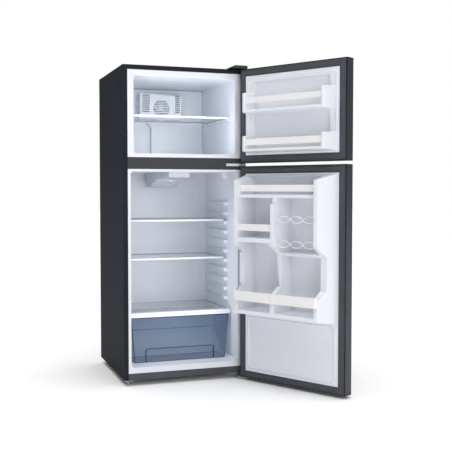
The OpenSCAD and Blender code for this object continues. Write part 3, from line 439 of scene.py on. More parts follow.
moulded_plastic("liner_white", (0.80, 0.82, 0.87, 1), 0.34, 700.0,
                Coat_Weight=0.15, Coat_Roughness=0.2)
moulded_plastic("trim_white", (0.76, 0.79, 0.84, 1), 0.36, 1100.0)
moulded_plastic("bar_white", (0.86, 0.845, 0.85, 1), 0.35, 1200.0)
moulded_plastic("black_plastic", (0.012, 0.013, 0.016, 1), 0.45, 1500.0, drift=0.2, depth=0.00004)
moulded_plastic("grey_plastic", (0.16, 0.165, 0.175, 1), 0.5, 1500.0, drift=0.15)
moulded_plastic("pale_tube", (0.7, 0.71, 0.72, 1), 0.4, 900.0)
print("plastics:", sorted(finishes))

# %% [markdown]
# ** Cabinet steel.** Dark slate paint over an embossed pebble, with painted shade in the pebbles' valleys and the least dust on top. The
# flat strip between the compartments and the base rail are smooth, so they get the paint
# without the pebble; the base rail's copy of it is lighter, and that lightness is painted light.

# %% Painted steel
tree, shader = finish("cabinet_paint", 0.62, Specular_IOR_Level=0.03)
# The valley colour below is painted shade between the pebbles.
pebbles = add_group(tree, pebbled, Colour=(0.036, 0.040, 0.052, 1),
                    Valley_colour=(0.018, 0.021, 0.029, 1))
tone = add_group(tree, tone_drift, Colour=pebbles.outputs["Colour"], Depth=0.18, Scale=3.0)
dusty = add_group(tree, settled_dust, Colour=tone.outputs["Colour"], Amount=0.10)
tree.links.new(dusty.outputs["Colour"], shader.inputs["Base Color"])
bump(tree, shader, pebbles.outputs["Height"], 0.00012)

# The rail's colour is a lighter copy of the strip paint: painted light.
for name, colour, rough in (("smooth_slate_paint", (0.036, 0.040, 0.050, 1), 0.45),
                            ("rail_paint_painted_light", (0.075, 0.080, 0.094, 1), 0.5),
                            ("black_enamel", (0.012, 0.012, 0.014, 1), 0.3)):
    tree, shader = finish(name, rough, Specular_IOR_Level=0.3)
    tone = add_group(tree, tone_drift, Colour=colour, Depth=0.2, Scale=9.0)
    dusty = add_group(tree, settled_dust, Colour=tone.outputs["Colour"], Amount=0.25)
    tree.links.new(dusty.outputs["Colour"], shader.inputs["Base Color"])
    grained(tree, shader, 1400.0, 0.00004)

tree, shader = finish("white_enamel", 0.25, Coat_Weight=0.4, Coat_Roughness=0.15)
drifting(tree, shader, (0.84, 0.85, 0.87, 1), 0.05, 30.0)
print("painted steel ready")

# %% [markdown]
# ** Bare metals.** Door skins are brushed steel in front, and their returned edges get a dark
# colour that is painted shade. The part of the normal that points out of the door tells the two
# apart. Brackets are zinc plated, the back and the machine deck are galvanised, and the pipes are dull copper.

# %% Metals
DOOR_OUTWARD = (0.866, 0.5, 0.0)  # where the doors' outer faces look as they stand open
tree, shader = finish("door_steel", 0.34, 1.0, Anisotropic=0.5)
hairlines = add_group(tree, brushed, Colour=(0.24, 0.24, 0.245, 1), Line_colour=(0.16, 0.16, 0.165, 1),
                      Contrast=0.55)
tone = add_group(tree, tone_drift, Colour=hairlines.outputs["Colour"], Depth=0.08, Scale=2.5)
facing = tree.nodes.new("ShaderNodeVectorMath")
facing.operation = "DOT_PRODUCT"
facing.inputs[1].default_value = DOOR_OUTWARD
tree.links.new(tree.nodes.new("ShaderNodeTexCoord").outputs["Normal"], facing.inputs[0])
front = stretch(tree, facing.outputs["Value"], 0.15, 0.3)
# The returned edges' dark colour is painted shade; the front keeps the brushed steel.
skin_colour_and_painted_shade = blend(tree, front, (0.018, 0.020, 0.026, 1), tone.outputs["Colour"])
tree.links.new(skin_colour_and_painted_shade, shader.inputs["Base Color"])
tree.links.new(front, shader.inputs["Metallic"])
shift_roughness(tree, shader, hairlines.outputs["Roughness shift"], 0.34)
bump(tree, shader, hairlines.outputs["Height"], 0.00003)

for name, bright, dull, size, rough in (
        ("galvanised", (0.56, 0.57, 0.59, 1), (0.42, 0.43, 0.45, 1), 150.0, 0.42),
        ("zinc_plate", (0.66, 0.67, 0.69, 1), (0.52, 0.53, 0.55, 1), 700.0, 0.40)):
    tree, shader = finish(name, rough, 0.9)
    crystals = add_group(tree, spangle, Bright=bright, Dull=dull, Crystals_per_metre=size)
    drifting(tree, shader, crystals.outputs["Colour"], 0.15, 12.0)
    shift_roughness(tree, shader, crystals.outputs["Roughness shift"], rough)

for name, colour, dark in (("copper", (0.62, 0.29, 0.17, 1), 0.45),
                           ("aluminium_fin", (0.72, 0.73, 0.75, 1), 0.2)):
    tree, shader = finish(name, 0.32, 1.0)
    cloud = drifting(tree, shader, colour, dark, 45.0)
    shift_roughness(tree, shader, stretch(tree, cloud, 0, 1, -0.06, 0.14), 0.32)
print("metals ready")

# %% [markdown]
# **Rubber, foam and paper.** The seals are soft slate vinyl, the compressor stands on black
# rubber, and the foam, seen only through holes, is rough and yellowish.

# %% Soft materials
for name, colour, rough, depth, grain in (
        ("seal_vinyl", (0.055, 0.061, 0.076, 1), 0.55, 0.00005, 1600.0),
        ("black_rubber", (0.014, 0.014, 0.015, 1), 0.7, 0.00010, 900.0),
        ("foam", (0.72, 0.60, 0.33, 1), 0.9, 0.0008, 260.0),
        ("label_paper", (0.74, 0.75, 0.76, 1), 0.6, 0.00002, 2500.0)):
    tree, shader = finish(name, rough)
    drifting(tree, shader, colour, 0.16, 14.0)
    grained(tree, shader, grain, depth)
print("soft materials ready")

# %% [markdown]
# **Clear parts.** Shelf glass is almost clear face on and grey-green in its edge. The crisper
# is smoky blue polystyrene whose edges look navy. Alpha is used rather than refraction: light
# then passes through the shelves without noise or a black shadow.

# %% Glass and clear plastic
# Name, colour and edge colour, alpha and edge alpha, roughness
clear = (
    ("shelf_glass", (0.80, 0.86, 0.88, 1), (0.42, 0.52, 0.54, 1), 0.30, 0.85, 0.06),
    ("crisper_plastic", (0.25, 0.39, 0.56, 1), (0.13, 0.23, 0.40, 1), 0.07, 0.17, 0.12),
    ("frosted_lens", (0.86, 0.89, 0.94, 1), (0.80, 0.83, 0.88, 1), 0.72, 0.8, 0.45),
    ("lamp_glass", (0.95, 0.93, 0.86, 1), (0.95, 0.93, 0.86, 1), 0.7, 0.7, 0.3),
    ("navy_edge", (0.020, 0.040, 0.13, 1), (0.020, 0.040, 0.13, 1), 0.92, 0.92, 0.2))
for name, face, edge_colour, face_alpha, edge_alpha, rough in clear:
    tree, shader = finish(name, rough, IOR=1.5)
    edges = add_group(tree, cut_edge, Face_colour=face, Edge_colour=edge_colour,
                      Face_alpha=face_alpha, Edge_alpha=edge_alpha)
    drifting(tree, shader, edges.outputs["Colour"], 0.06, 8.0)
    tree.links.new(edges.outputs["Alpha"], shader.inputs["Alpha"])
    grained(tree, shader, 60.0, 0.00003)
print("clear parts ready; finishes:", len(finishes))

# %% [markdown]
# ## Dress the mechanical parts
# Each of the record's slots has one finish here. Parts that keep their mechanical shape only
# need this; the ones that are rebuilt further down take the same finish.

# %% Slots to finishes
finish_of_slot = {
    "cabinet_paint": "cabinet_paint", "mullion_paint": "smooth_slate_paint", "zinc": "zinc_plate",
    "galvanised": "galvanised", "door_steel": "door_steel", "foam": "foam",
    "liner_plastic": "liner_white", "trim_plastic": "trim_white", "bar_plastic": "bar_white",
    "black_plastic": "black_plastic", "seal": "seal_vinyl", "rubber": "black_rubber",
    "shelf_glass": "shelf_glass", "drawer_plastic": "crisper_plastic", "lamp_lens": "frosted_lens",
    "lamp_glass": "lamp_glass", "black_enamel": "black_enamel", "copper": "copper",
    "coil_aluminium": "aluminium_fin", "white_wire": "white_enamel", "grey_plastic": "grey_plastic"}
for node_name, part in nodes.items():
    part.data.materials.clear()
    part.data.materials.append(finishes[finish_of_slot[slot_of_node[node_name]]])
# The base rail gets the lighter copy of the strip paint, which is painted light.
nodes["base_rail"].data.materials[0] = finishes["rail_paint_painted_light"]
print("dressed", len(nodes), "parts")

# %% [markdown]
# ## Softer edges
# A sheet or a moulding never ends in a perfectly sharp corner: the small rounding catches a
# line of light. Each part below is copied, its flat triangles are merged back into whole
# faces, and its edges get a bevel. A bevel needs room, so an edge is rounded only where the
# faces on both sides are wide enough; narrow edges get a smaller bevel in a second pass.

# %% Tools for new pieces
def smooth(mesh, angle=38):
    """Smooth shading, with creases sharper than angle kept."""
    mesh.shade_smooth()
    mesh.set_sharp_from_angle(angle=math.radians(angle))


def closed_mesh(work, name, angle=None):
    """The mesh of a bmesh, its faces turned outwards; smooth if an angle for creases is given."""
    mesh = bpy.data.meshes.new(name)
    bmesh.ops.recalc_face_normals(work, faces=work.faces)
    work.to_mesh(mesh)
    work.free()
    if angle:
        smooth(mesh, angle)
    return mesh


def add_piece(name, mesh, body, slot, finish_name=None, replaced=()):
    """Put a mesh in the scene as a piece that rides on a body."""
    piece = bpy.data.objects.new(name, mesh)
    bpy.context.scene.collection.objects.link(piece)
    mesh.materials.clear()
    mesh.materials.append(finishes[finish_name or finish_of_slot[slot]])
    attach(piece, body)
    if replaced:
        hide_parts(*replaced)
    return piece


def room_beside(edge, face, wanted):
    """Is the face at least wanted wide beside the edge, measured inwards from the edge's middle?"""
    a, b = edge.verts[0].co, edge.verts[1].co
    middle = (a + b) / 2
    inward = face.normal.cross(b - a).normalized()
    if (face.calc_center_median() - middle).dot(inward) < 0:
        inward = -inward
    for other in face.edges:
        if other is edge:
            continue
        for t in (0.25, 0.5, 0.75):
            start = a.lerp(b, t)
            c, d = other.verts[0].co, other.verts[1].co
            # Distance from the start point, along inward, to the other edge
            side = (d - c).cross(face.normal)
            fall = side.dot(inward)
            if abs(fall) < 1e-9:
                continue
            run = side.dot(c - start) / fall
            hit = start + inward * run
            along = (hit - c).dot(d - c) / max((d - c).length_squared, 1e-12)
            if run > 1e-6 and -0.001 <= along <= 1.001 and run < wanted:
                return False
    return True


def rounded(node_name, radii, steps=3, angle=25):
    """A copy of a part with bevelled edges; radii are tried from large to small, in metres."""
    mesh = nodes[node_name].data.copy()
    work = bmesh.new()
    work.from_mesh(mesh)
    bmesh.ops.remove_doubles(work, verts=work.verts, dist=2e-6)
    bmesh.ops.dissolve_limit(work, angle_limit=math.radians(0.5), verts=work.verts, edges=work.edges)
    count = 0
    for radius in radii:
        edges = []
        for edge in work.edges:
            if len(edge.link_faces) != 2 or edge.calc_length() < 2.5 * radius:
                continue
            if edge.calc_face_angle(0) < math.radians(angle):
                continue
            if all(room_beside(edge, face, 2.6 * radius) for face in edge.link_faces):
                edges.append(edge)
        if edges:
            count += len(edges)
            bmesh.ops.bevel(work, geom=edges, offset=radius, segments=steps, profile=0.5,
                            affect="EDGES", clamp_overlap=True)
    bmesh.ops.dissolve_degenerate(work, dist=2e-6, edges=work.edges)
    bmesh.ops.recalc_face_normals(work, faces=work.faces)
    whole = bmesh.new()
    whole.from_mesh(mesh)
    kept = work.calc_volume() / whole.calc_volume()
    whole.free()
    work.to_mesh(mesh)
    work.free()
    smooth(mesh)
    piece = add_piece(node_name + "_soft", mesh, body_of_node[node_name], slot_of_node[node_name],
                      replaced=[node_name])
    weights = piece.modifiers.new("even_shading", "WEIGHTED_NORMAL")
    weights.keep_sharp = True
    print(f"{piece.name}: {count} edges rounded, {len(mesh.polygons)} faces, volume {kept:.3f}")


# %% Round the liners
for node_name in ("freezer_liner", "fridge_liner", "freezer_door_liner"):
    rounded(node_name, (5 * MM, 2 * MM, 0.5 * MM))
rounded("fridge_door_liner", (9 * MM, 4 * MM, 1.5 * MM, 0.5 * MM))

# %% Round the trims, the bars and the drawer
for node_name in ("ceiling_housing", "lamp_cover", "crisper_drawer"):
    rounded(node_name, (4 * MM, 1.5 * MM, 0.5 * MM))
rounded("freezer_duct_cover", (4 * MM, 1.5 * MM))
for node_name in ("freezer_shelf_trim", "upper_shelf_trim", "lower_shelf_trim",
                  "crisper_cover_trim", "freezer_door_bars", "dairy_bar", "condiment_bar",
                  "bottle_bar"):
    rounded(node_name, (1.2 * MM, 0.5 * MM), 2)

# %% Round the caps, the hinges and the machine parts
for node_name in ("freezer_door_top_cap", "freezer_door_bottom_cap", "fridge_door_top_cap",
                  "fridge_door_bottom_cap", "hinge_cover", "relay_cover", "drain_pan"):
    rounded(node_name, (2.5 * MM, 1 * MM, 0.4 * MM), 2)
for node_name in ("top_hinge", "middle_hinge", "bottom_hinge"):
    rounded(node_name, (0.9 * MM, 0.4 * MM), 2)

# %% [markdown]
# ## Door seals
# A fridge seal is an extruded vinyl strip: a foot that clips under the liner's edge, a thin
# bellows, and a square tube with the magnet in it. Four lengths are welded into a frame with
# mitred corners. One outline of the strip is swept round the door, so all its grooves run
# through the corners.

# %% Sweep an outline round a door
def door_turn(joint):
    """The turn that takes shut-door coordinates to where the door stands in the model."""
    pivot = Matrix.Translation(joints[joint]["pos_m"])
    swing = Matrix.Rotation(math.radians(joints[joint]["range_deg"][0]), 4, "Z")
    return (pivot @ swing @ pivot.inverted()).inverted()


def box_of_shut(node_name, turn):
    """Lowest and highest corner of a door part as if its door were shut."""
    back = turn.inverted()
    points = [back @ vertex.co for vertex in nodes[node_name].data.vertices]
    return [[pick(p[i] for p in points) for i in range(3)] for pick in (min, max)]


def frame_sweep(outline, box, corner=0.0, steps=6):
    """Sweep an outline of (inset, y) round the box's XZ sides; closed both ways."""
    work = bmesh.new()
    rings = []
    turns = [(1, 1), (-1, 1), (-1, -1), (1, -1)]
    for number, (sx, sz) in enumerate(turns):
        for step in range(steps + 1 if corner else 1):
            angle = math.pi / 2 * (number + (step / steps if corner else 0.5))
            ring = []
            for inset, y in outline:
                side_x = (box[1][0] if sx > 0 else box[0][0])
                side_z = (box[1][2] if sz > 0 else box[0][2])
                if corner:
                    centre = (side_x - sx * corner, side_z - sz * corner)
                    reach = corner - inset
                    place = (centre[0] + reach * math.cos(angle), y,
                             centre[1] + reach * math.sin(angle))
                else:
                    place = (side_x - sx * inset, y, side_z - sz * inset)
                ring.append(work.verts.new(place))
            rings.append(ring)
    for first, second in zip(rings, rings[1:] + rings[:1]):
        for i in range(len(outline)):
            j = (i + 1) % len(outline)
            work.faces.new((first[i], first[j], second[j], second[i]))
    return closed_mesh(work, "frame_sweep")


door_turns = {door: door_turn(door + "_hinge") for door in ("freezer_door", "fridge_door")}
print("doors:", sorted(door_turns))

# %% Bellows seals
# The strip's outline from its outer foot round to its inner one, as (inset, rise) in millimetres
SEAL = [(0, 0), (0, 2.2), (1.2, 3.2), (3.6, 3.6), (5.0, 2.4), (6.2, 3.4), (6.0, 4.8), (7.0, 6.0),
        (9.0, 6.2), (20.5, 6.2), (23.0, 5.9), (24.2, 4.8), (23.8, 3.4), (25.0, 2.4), (26.4, 3.4),
        (28.8, 3.5), (30, 2.4), (30, 0)]
for door, turn in door_turns.items():
    box = box_of_shut(door + "_seal", turn)
    strip = [(inset * MM, box[0][1] + rise * MM) for inset, rise in SEAL]
    mesh = frame_sweep(strip, box)
    mesh.transform(turn)
    smooth(mesh, 50)
    add_piece(door + "_bellows_seal", mesh, body_of_node[door + "_seal"], "seal",
              replaced=[door + "_seal"])
    print(door, "seal:", len(mesh.polygons), "faces")

# %% [markdown]
# ## Embossed lines
# A flat plastic sheet would drum and look wavy, so the mould presses shallow half-round ribs
# into it. The same sweep draws them with a half circle for an outline and round corners.

# %% Ribs pressed into the door liners
def half_round(radius, rise, y, steps=7):
    """Outline of a shallow rib that stands on the plane y."""
    points = [(0, y - 0.3 * MM)]
    for step in range(steps + 1):
        angle = math.pi * step / steps
        points.append((radius * (1 - math.cos(angle)), y + rise * math.sin(angle)))
    return points + [(2 * radius, y - 0.3 * MM)]


def pressed_rib(name, door, low, high, y, radius, rise, corner):
    """A rounded rectangular rib on a door liner, between two (x, z) corners in shut coordinates."""
    box = [[low[0], y, low[1]], [high[0], y, high[1]]]
    mesh = frame_sweep(half_round(radius, rise, y), box, corner)
    mesh.transform(door_turns[door])
    smooth(mesh, 60)
    add_piece(name, mesh, body_of_node[door + "_liner"], "liner_plastic")


seals = {door: box_of_shut(door + "_seal", turn) for door, turn in door_turns.items()}
RIB_RADIUS, RIB_RISE, RIB_CORNER = 5 * MM, 3.4 * MM, 26 * MM
below_racks = box_of_shut("bottle_bar", door_turns["fridge_door"])[0][2] - 92 * MM
for door, margin, ceiling in (("freezer_door", 40 * MM, seals["freezer_door"][1][2] - 40 * MM),
                              ("fridge_door", 44 * MM, below_racks)):
    low, high = seals[door]
    pressed_rib(door + "_panel_rib", door, (low[0] + margin, low[2] + margin),
                (high[0] - margin, ceiling), low[1] + 2 * MM, RIB_RADIUS, RIB_RISE, RIB_CORNER)
print("ribs pressed into both doors")

# %% [markdown]
# ## Crisper edges
# Tinted clear plastic looks dark wherever the eye looks along a wall instead of through it:
# the rim, the corners, the fold across the back and the edges of the grip recess. Thin navy
# beads on those edges show that, because alpha alone can't bend light into them.

# %% A round bead along a path
def bead(points, radius, closed=False, sides=8):
    """A round tube along points, with flat ends where it isn't closed."""
    work = bmesh.new()
    points = [Vector(p) for p in points]
    rings = []
    count = len(points)
    side = None
    for i, point in enumerate(points):
        before = points[i - 1] if i or closed else point
        after = points[(i + 1) % count] if i < count - 1 or closed else point
        along = ((point - before).normalized() + (after - point).normalized()).normalized()
        if side is None:
            guide = Vector((0, 0, 1)) if abs(along.z) < 0.9 else Vector((1, 0, 0))
            side = along.cross(guide).normalized()
        side = (side - along * side.dot(along)).normalized()
        other = along.cross(side)
        reach = radius
        if before != point and after != point:
            # A mitre is wider than the tube by the turn's half angle
            turn = (point - before).angle(after - point, 0)
            reach = radius / max(math.cos(turn / 2), 0.5)
        angles = [2 * math.pi * k / sides for k in range(sides)]
        rings.append([work.verts.new(point + reach * (side * math.cos(a) + other * math.sin(a)))
                      for a in angles])
    for first, second in zip(rings, rings[1:] + (rings[:1] if closed else [])):
        for k in range(sides):
            work.faces.new((first[k], first[(k + 1) % sides], second[(k + 1) % sides], second[k]))
    if not closed:
        work.faces.new(rings[0][::-1])
        work.faces.new(rings[-1])
    return closed_mesh(work, "bead")


def round_corners(points, radius, steps=5, closed=True):
    """Replace each corner of a flat path by an arc-like curve."""
    points = [Vector(p) for p in points]
    path = []
    count = len(points)
    for i, corner in enumerate(points):
        if not closed and i in (0, count - 1):
            path.append(corner)
            continue
        before = corner + (points[i - 1] - corner).normalized() * radius
        after = corner + (points[(i + 1) % count] - corner).normalized() * radius
        for step in range(steps + 1):
            t = step / steps
            path.append(before * (1 - t) ** 2 + corner * 2 * t * (1 - t) + after * t ** 2)
    return path


# %% Navy beads on the crisper drawer
low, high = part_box("crisper_drawer")
FOOT_INSET, GRIP_INSET = 20 * MM, 76 * MM  # from the drawer's sides to its foot and its grip
foot = high[0] - FOOT_INSET
grip = high[0] - GRIP_INSET
sole_z = low[2] + 1 * MM
front_low = low[1] + 5 * MM
front_high = low[1] + 0.6 * MM
front_outline = [(-foot, front_low, sole_z), (foot, front_low, sole_z),
                 (high[0] - 1.5 * MM, front_high, high[2] - 2 * MM),
                 (low[0] + 1.5 * MM, front_high, high[2] - 2 * MM)]


def grip_hoop(y, rise):
    """The grip recess's edge at depth y, whose top stands the given rise above the grip."""
    top = low[2] + 62 * MM + rise
    return [(-grip, y + 0.8 * MM, low[2] + 2 * MM), (-grip, y, top), (grip, y, top),
            (grip, y + 0.8 * MM, low[2] + 2 * MM)]


def three_sides(half, front, back, z):
    """A path back along the left, across behind and forward along the right."""
    return [(-half, front, z), (-half, back, z), (half, back, z), (half, front, z)]


fold_z = low[2] + 112 * MM
fold = [(low[0] + 13 * MM, high[1] - 1 * MM, fold_z), (high[0] - 13 * MM, high[1] - 1 * MM, fold_z)]
sole = three_sides(foot, front_low, low[1] + 136 * MM, sole_z)
rim = three_sides(high[0] - 1 * MM, low[1] + 3 * MM, high[1] - 1 * MM, high[2] - 1 * MM)
for name, path, corner, radius, closed in (
        ("front_bead", front_outline, 9 * MM, 1.9 * MM, True),
        ("grip_bead_front", grip_hoop(front_low - 1.6 * MM, 1.2 * MM), 10 * MM, 1.8 * MM, False),
        ("grip_bead_back", grip_hoop(low[1] + 13.2 * MM, 0.6 * MM), 10 * MM, 1.8 * MM, False),
        ("back_bead", fold, 0, 1.5 * MM, False),
        ("sole_bead", sole, 8 * MM, 1.5 * MM, False),
        ("rim_bead", rim, 8 * MM, 1.5 * MM, False)):
    bent = round_corners(path, corner, closed=closed)
    add_piece("crisper_" + name, bead(bent, radius, closed), body_of_node["crisper_drawer"],
              "drawer_plastic", "navy_edge")
print("crisper beads along", round(2 * foot, 3), "m of front")

# %% [markdown]
# ## Turned parts
# Levelling legs, rollers, the knob and the lamp are round, so each is one outline of (radius,
# height) turned about an axis. The leg's thread is a zigzag in that outline: at this size the
# helix's slope can't be seen.

# %% Turn an outline
def turned(outline, centre, axis=(0, 0, 1), sides=40):
    """A closed mesh from an outline of (radius, height) that starts and ends on the axis."""
    work = bmesh.new()
    stand = Vector((0, 0, 1)).rotation_difference(Vector(axis)).to_matrix()
    rings = []
    for radius, rise in outline:
        if radius < 1e-7:
            rings.append([work.verts.new(Vector(centre) + stand @ Vector((0, 0, rise)))])
            continue
        ring = []
        for k in range(sides):
            angle = 2 * math.pi * k / sides
            ring.append(work.verts.new(Vector(centre) + stand @ Vector(
                (radius * math.cos(angle), radius * math.sin(angle), rise))))
        rings.append(ring)
    for lower, upper in zip(rings, rings[1:]):
        for k in range(sides):
            j = (k + 1) % sides
            corners = [lower[k % len(lower)], lower[j % len(lower)],
                       upper[j % len(upper)], upper[k % len(upper)]]
            unique = list(dict.fromkeys(corners))
            if len(unique) > 2:
                work.faces.new(unique)
    return closed_mesh(work, "turned", 35)


def millimetres(outline):
    """An outline given in millimetres, in metres."""
    return [(radius * MM, rise * MM) for radius, rise in outline]


def middle_of(node_name):
    """The middle, the lowest and the highest corner of a part's box."""
    low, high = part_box(node_name)
    return [(a + b) / 2 for a, b in zip(low, high)], low, high


# %% Levelling legs and rollers
FOOT = [(0, 0), (11.6, 0), (12.6, 0.5), (13, 1.5), (13, 5.6), (12.3, 7.0), (10.5, 8.0), (7.4, 8.0),
        (7.0, 8.4), (7.0, 11.6), (6.6, 12.0), (4.0, 12.0)]
THREAD_ROOT, THREAD_CREST, THREAD_PITCH = 3.35, 4.0, 0.9
for node_name in ("leg_left", "leg_right"):
    middle, low, high = middle_of(node_name)
    top = (high[2] - low[2]) / MM
    thread = []
    rise = FOOT[-1][1] + 0.4
    while rise < top - 1.0:
        thread += [(THREAD_ROOT, rise), (THREAD_CREST, rise + THREAD_PITCH / 2)]
        rise += THREAD_PITCH
    outline = millimetres(FOOT + thread + [(3.2, top), (0, top)])
    add_piece(node_name + "_turned", turned(outline, (middle[0], middle[1], low[2])),
              body_of_node[node_name], "zinc", replaced=[node_name])
BORE, HUB = 3.1, 6  # the rollers' radii at the axle
for node_name in ("roller_left", "roller_right"):
    middle, low, high = middle_of(node_name)
    width = (high[0] - low[0]) / MM
    radius = (high[2] - low[2]) / 2 / MM
    half = [(BORE, 0), (HUB, 0), (HUB, 0.6), (radius - 4, 0.6), (radius - 3.4, 1.4),
            (radius - 1.6, 0.8), (radius - 0.3, 1.8), (radius, 3.2)]
    other_half = [(r, width - rise) for r, rise in reversed(half)]
    wheel = millimetres(half + other_half + half[:1])
    add_piece(node_name + "_turned", turned(wheel, (low[0], middle[1], middle[2]), (1, 0, 0)),
              body_of_node[node_name], "grey_plastic", replaced=[node_name])
print("turned: 2 legs, 2 rollers")

# %% [markdown]
# ## Thermostat knob and lamp
# The knob has a fluted skirt for the fingertips, a raised bar to turn it by and a pale mark
# that points at the setting, so the dial needs no lettering. The lamp is a glass bulb with its
# screw cap behind it, and slots under the lamp cover let its heat out.

# %% Knob and dial
middle, low, high = middle_of("temperature_knob")
FLUTES, FLUTE_DEPTH = 24, 0.022  # depth as a share of the radius, to each side of the mean
skirt_low = low[2] + 6 * MM
stem = high[2] / MM - skirt_low / MM
knob = turned(millimetres([(0, 0.2), (3, 0), (13.4, 0), (14.6, 0.5), (15, 1.4), (14.8, 8.4), (14.2, 9),
                           (5, 9), (5, stem - 0.3), (4.6, stem), (0, stem)]),
              (middle[0], middle[1], skirt_low), sides=72)
for vertex in knob.vertices:
    out = Vector((vertex.co.x - middle[0], vertex.co.y - middle[1]))
    if out.length > 13 * MM:
        flute = 1 - FLUTE_DEPTH * (1 + math.cos(FLUTES * math.atan2(out.y, out.x)))
        vertex.co.x = middle[0] + out.x * flute
        vertex.co.y = middle[1] + out.y * flute
add_piece("knob_skirt", knob, body_of_node["temperature_knob"], slot_of_node["temperature_knob"],
          replaced=["temperature_knob"])


PLATE_AXES = {"Z": (0, 1, 2), "Y": (0, 2, 1)}  # a plate's length, its width and its thickness


def slab(centre, size, corner, axis="Z", soft=0.3 * MM, steps=4):
    """A thin plate with round corners and softened rims, lying across the given axis."""
    work = bmesh.new()
    across = PLATE_AXES[axis]
    half = [size[i] / 2 for i in range(3)]
    loops = []
    for level, shrink in ((-half[2], soft), (-half[2] + soft, 0), (half[2] - soft, 0), (half[2], soft)):
        loop = []
        for number, (sa, sb) in enumerate(((1, 1), (-1, 1), (-1, -1), (1, -1))):
            for step in range(steps + 1):
                angle = math.pi / 2 * (number + step / steps)
                reach = corner - shrink
                spot = [0, 0, 0]
                spot[across[0]] = centre[across[0]] + sa * (half[0] - corner) + reach * math.cos(angle)
                spot[across[1]] = centre[across[1]] + sb * (half[1] - corner) + reach * math.sin(angle)
                spot[across[2]] = centre[across[2]] + level
                loop.append(work.verts.new(spot))
        loops.append(loop)
    count = len(loops[0])
    for lower, upper in zip(loops, loops[1:]):
        for k in range(count):
            work.faces.new((lower[k], lower[(k + 1) % count], upper[(k + 1) % count], upper[k]))
    work.faces.new(loops[0])
    work.faces.new(loops[-1])
    return closed_mesh(work, "slab", 50)


def joined(meshes):
    """Several meshes as one."""
    work = bmesh.new()
    for mesh in meshes:
        work.from_mesh(mesh)
        bpy.data.meshes.remove(mesh)
    whole = bpy.data.meshes.new("joined")
    work.to_mesh(whole)
    work.free()
    smooth(whole, 50)
    return whole


bar = slab((middle[0], middle[1], low[2] + 3.5 * MM), (4 * MM, 29 * MM, 7 * MM), 1.9 * MM, soft=0.8 * MM)
add_piece("knob_bar", bar, body_of_node["temperature_knob"], slot_of_node["temperature_knob"])
mark = slab((middle[0], middle[1] - 9 * MM, low[2] - 0.02 * MM), (1.2 * MM, 8 * MM, 0.3 * MM),
            0.55 * MM, soft=0.1 * MM)
add_piece("knob_mark", mark, body_of_node["temperature_knob"], "grey_plastic")
print("knob:", len(knob.polygons), "faces")

# %% Lamp and its louvres
middle, low, high = middle_of("lamp")
length = (high[1] - low[1]) / MM
bulb = turned(millimetres([(0, 0), (3.4, 0.7), (6.2, 2.8), (7.7, 6.2), (7.9, 9.0), (7.0, 13.0),
                           (5.4, 17.0), (4.9, 19.0), (6.8, 19.4), (6.9, 20.4), (6.3, 21.0), (6.9, 21.6),
                           (6.9, 22.6), (6.3, 23.2), (6.9, 23.8), (6.9, 25), (6.3, 25.6), (6.6, 27),
                           (6.6, length - 0.5), (0, length)]), (middle[0], low[1], middle[2]), (0, 1, 0))
add_piece("lamp_bulb", bulb, body_of_node["lamp"], "lamp_glass", replaced=["lamp"])
low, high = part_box("lamp_cover")
COVER_DROP, COVER_RUN = 9 * MM, 130 * MM  # the lamp cover's underside falls this much over that
louvres = []
for row in range(7):
    y = low[1] + (24 + 13 * row) * MM
    z = low[2] + COVER_DROP - (y - low[1]) * COVER_DROP / COVER_RUN - 0.1 * MM
    for x in (-21 * MM, 21 * MM):
        louvres.append(slab((x, y, z), (30 * MM, 4 * MM, 0.5 * MM), 1.9 * MM, soft=0.15 * MM))
louvre_count = len(louvres)
add_piece("lamp_louvres", joined(louvres), body_of_node["lamp_cover"], "grey_plastic")
print("lamp and", louvre_count, "louvres")

# %% [markdown]
# ## Screws, bolts and labels
# The back and the machine space are held by hexagon washer screws. A head is an outline turned
# in six steps, on a washer turned in many. The rating label carries plain grey bars where the
# print would be.

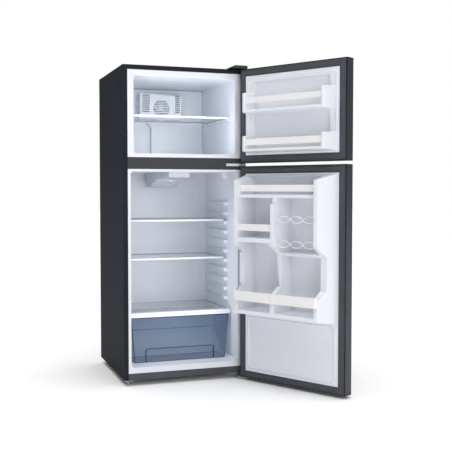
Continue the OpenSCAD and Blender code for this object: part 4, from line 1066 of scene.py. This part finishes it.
# %% Screws
def hex_screw(centre, axis, across):
    """A hexagon head of the given size across corners, standing on a round washer."""
    washer = turned([(0, 0), (across * 0.72, 0), (across * 0.74, across * 0.06),
                     (across * 0.5, across * 0.14), (0, across * 0.14)], centre, axis, 24)
    head_base = Vector(centre) + Vector(axis) * across * 0.12
    head = turned([(0, 0), (across * 0.5, 0), (across * 0.5, across * 0.3), (across * 0.42, across * 0.37),
                   (0, across * 0.37)], head_base, axis, 6)
    return joined([washer, head])


panel_low, panel_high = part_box("rear_panel")
SCREW_ROWS, SCREW_MARGIN = 6, 40 * MM
pitch = (panel_high[2] - panel_low[2] - 2 * SCREW_MARGIN) / (SCREW_ROWS - 1)
screws = []
for side in (-1, 1):
    for row in range(SCREW_ROWS):
        z = panel_low[2] + SCREW_MARGIN + row * pitch
        spot = (side * (panel_high[0] - 12 * MM), panel_high[1], z)
        screws.append(hex_screw(spot, (0, 1, 0), 8 * MM))
add_piece("rear_panel_screws", joined(screws), body_of_node["rear_panel"], "zinc")

mount_low, mount_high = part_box("compressor_mounts")
MOUNT_RADIUS = 11 * MM
bolts = []
for x in (mount_low[0] + MOUNT_RADIUS, mount_high[0] - MOUNT_RADIUS):
    for y in (mount_low[1] + MOUNT_RADIUS, mount_high[1] - MOUNT_RADIUS):
        bolts.append(hex_screw((x, y, mount_high[2]), (0, 0, 1), 11 * MM))
add_piece("compressor_bolts", joined(bolts), body_of_node["compressor_mounts"], "zinc")
print("screws:", 2 * SCREW_ROWS, "bolts: 4")


# %% Labels
def label(name, body, centre, size, axis, bars):
    """A blank label and grey bars on it where the print would be."""
    add_piece(name, slab(centre, (size[0], size[1], 0.24 * MM), 2 * MM, axis, 0.08 * MM), body,
              "trim_plastic", "label_paper")
    across = PLATE_AXES[axis]
    pieces = []
    for row in range(bars):
        width = size[0] * (0.42, 0.78, 0.62, 0.84)[row % 4]
        spot = list(centre)
        spot[across[1]] += size[1] * (0.36 - 0.72 * row / (bars - 1))
        spot[across[0]] -= (size[0] * 0.86 - width) / 2
        spot[across[2]] += 0.12 * MM
        pieces.append(slab(spot, (width, size[1] * 0.04, 0.1 * MM), 0.4 * MM, axis, 0.02 * MM, 2))
    add_piece(name + "_bars", joined(pieces), body, "grey_plastic")


label("rating_label", body_of_node["rear_panel"], (0.17, panel_high[1] + 0.1 * MM, panel_low[2] + 34 * MM),
      (90 * MM, 46 * MM), "Y", 6)
print("labels made")
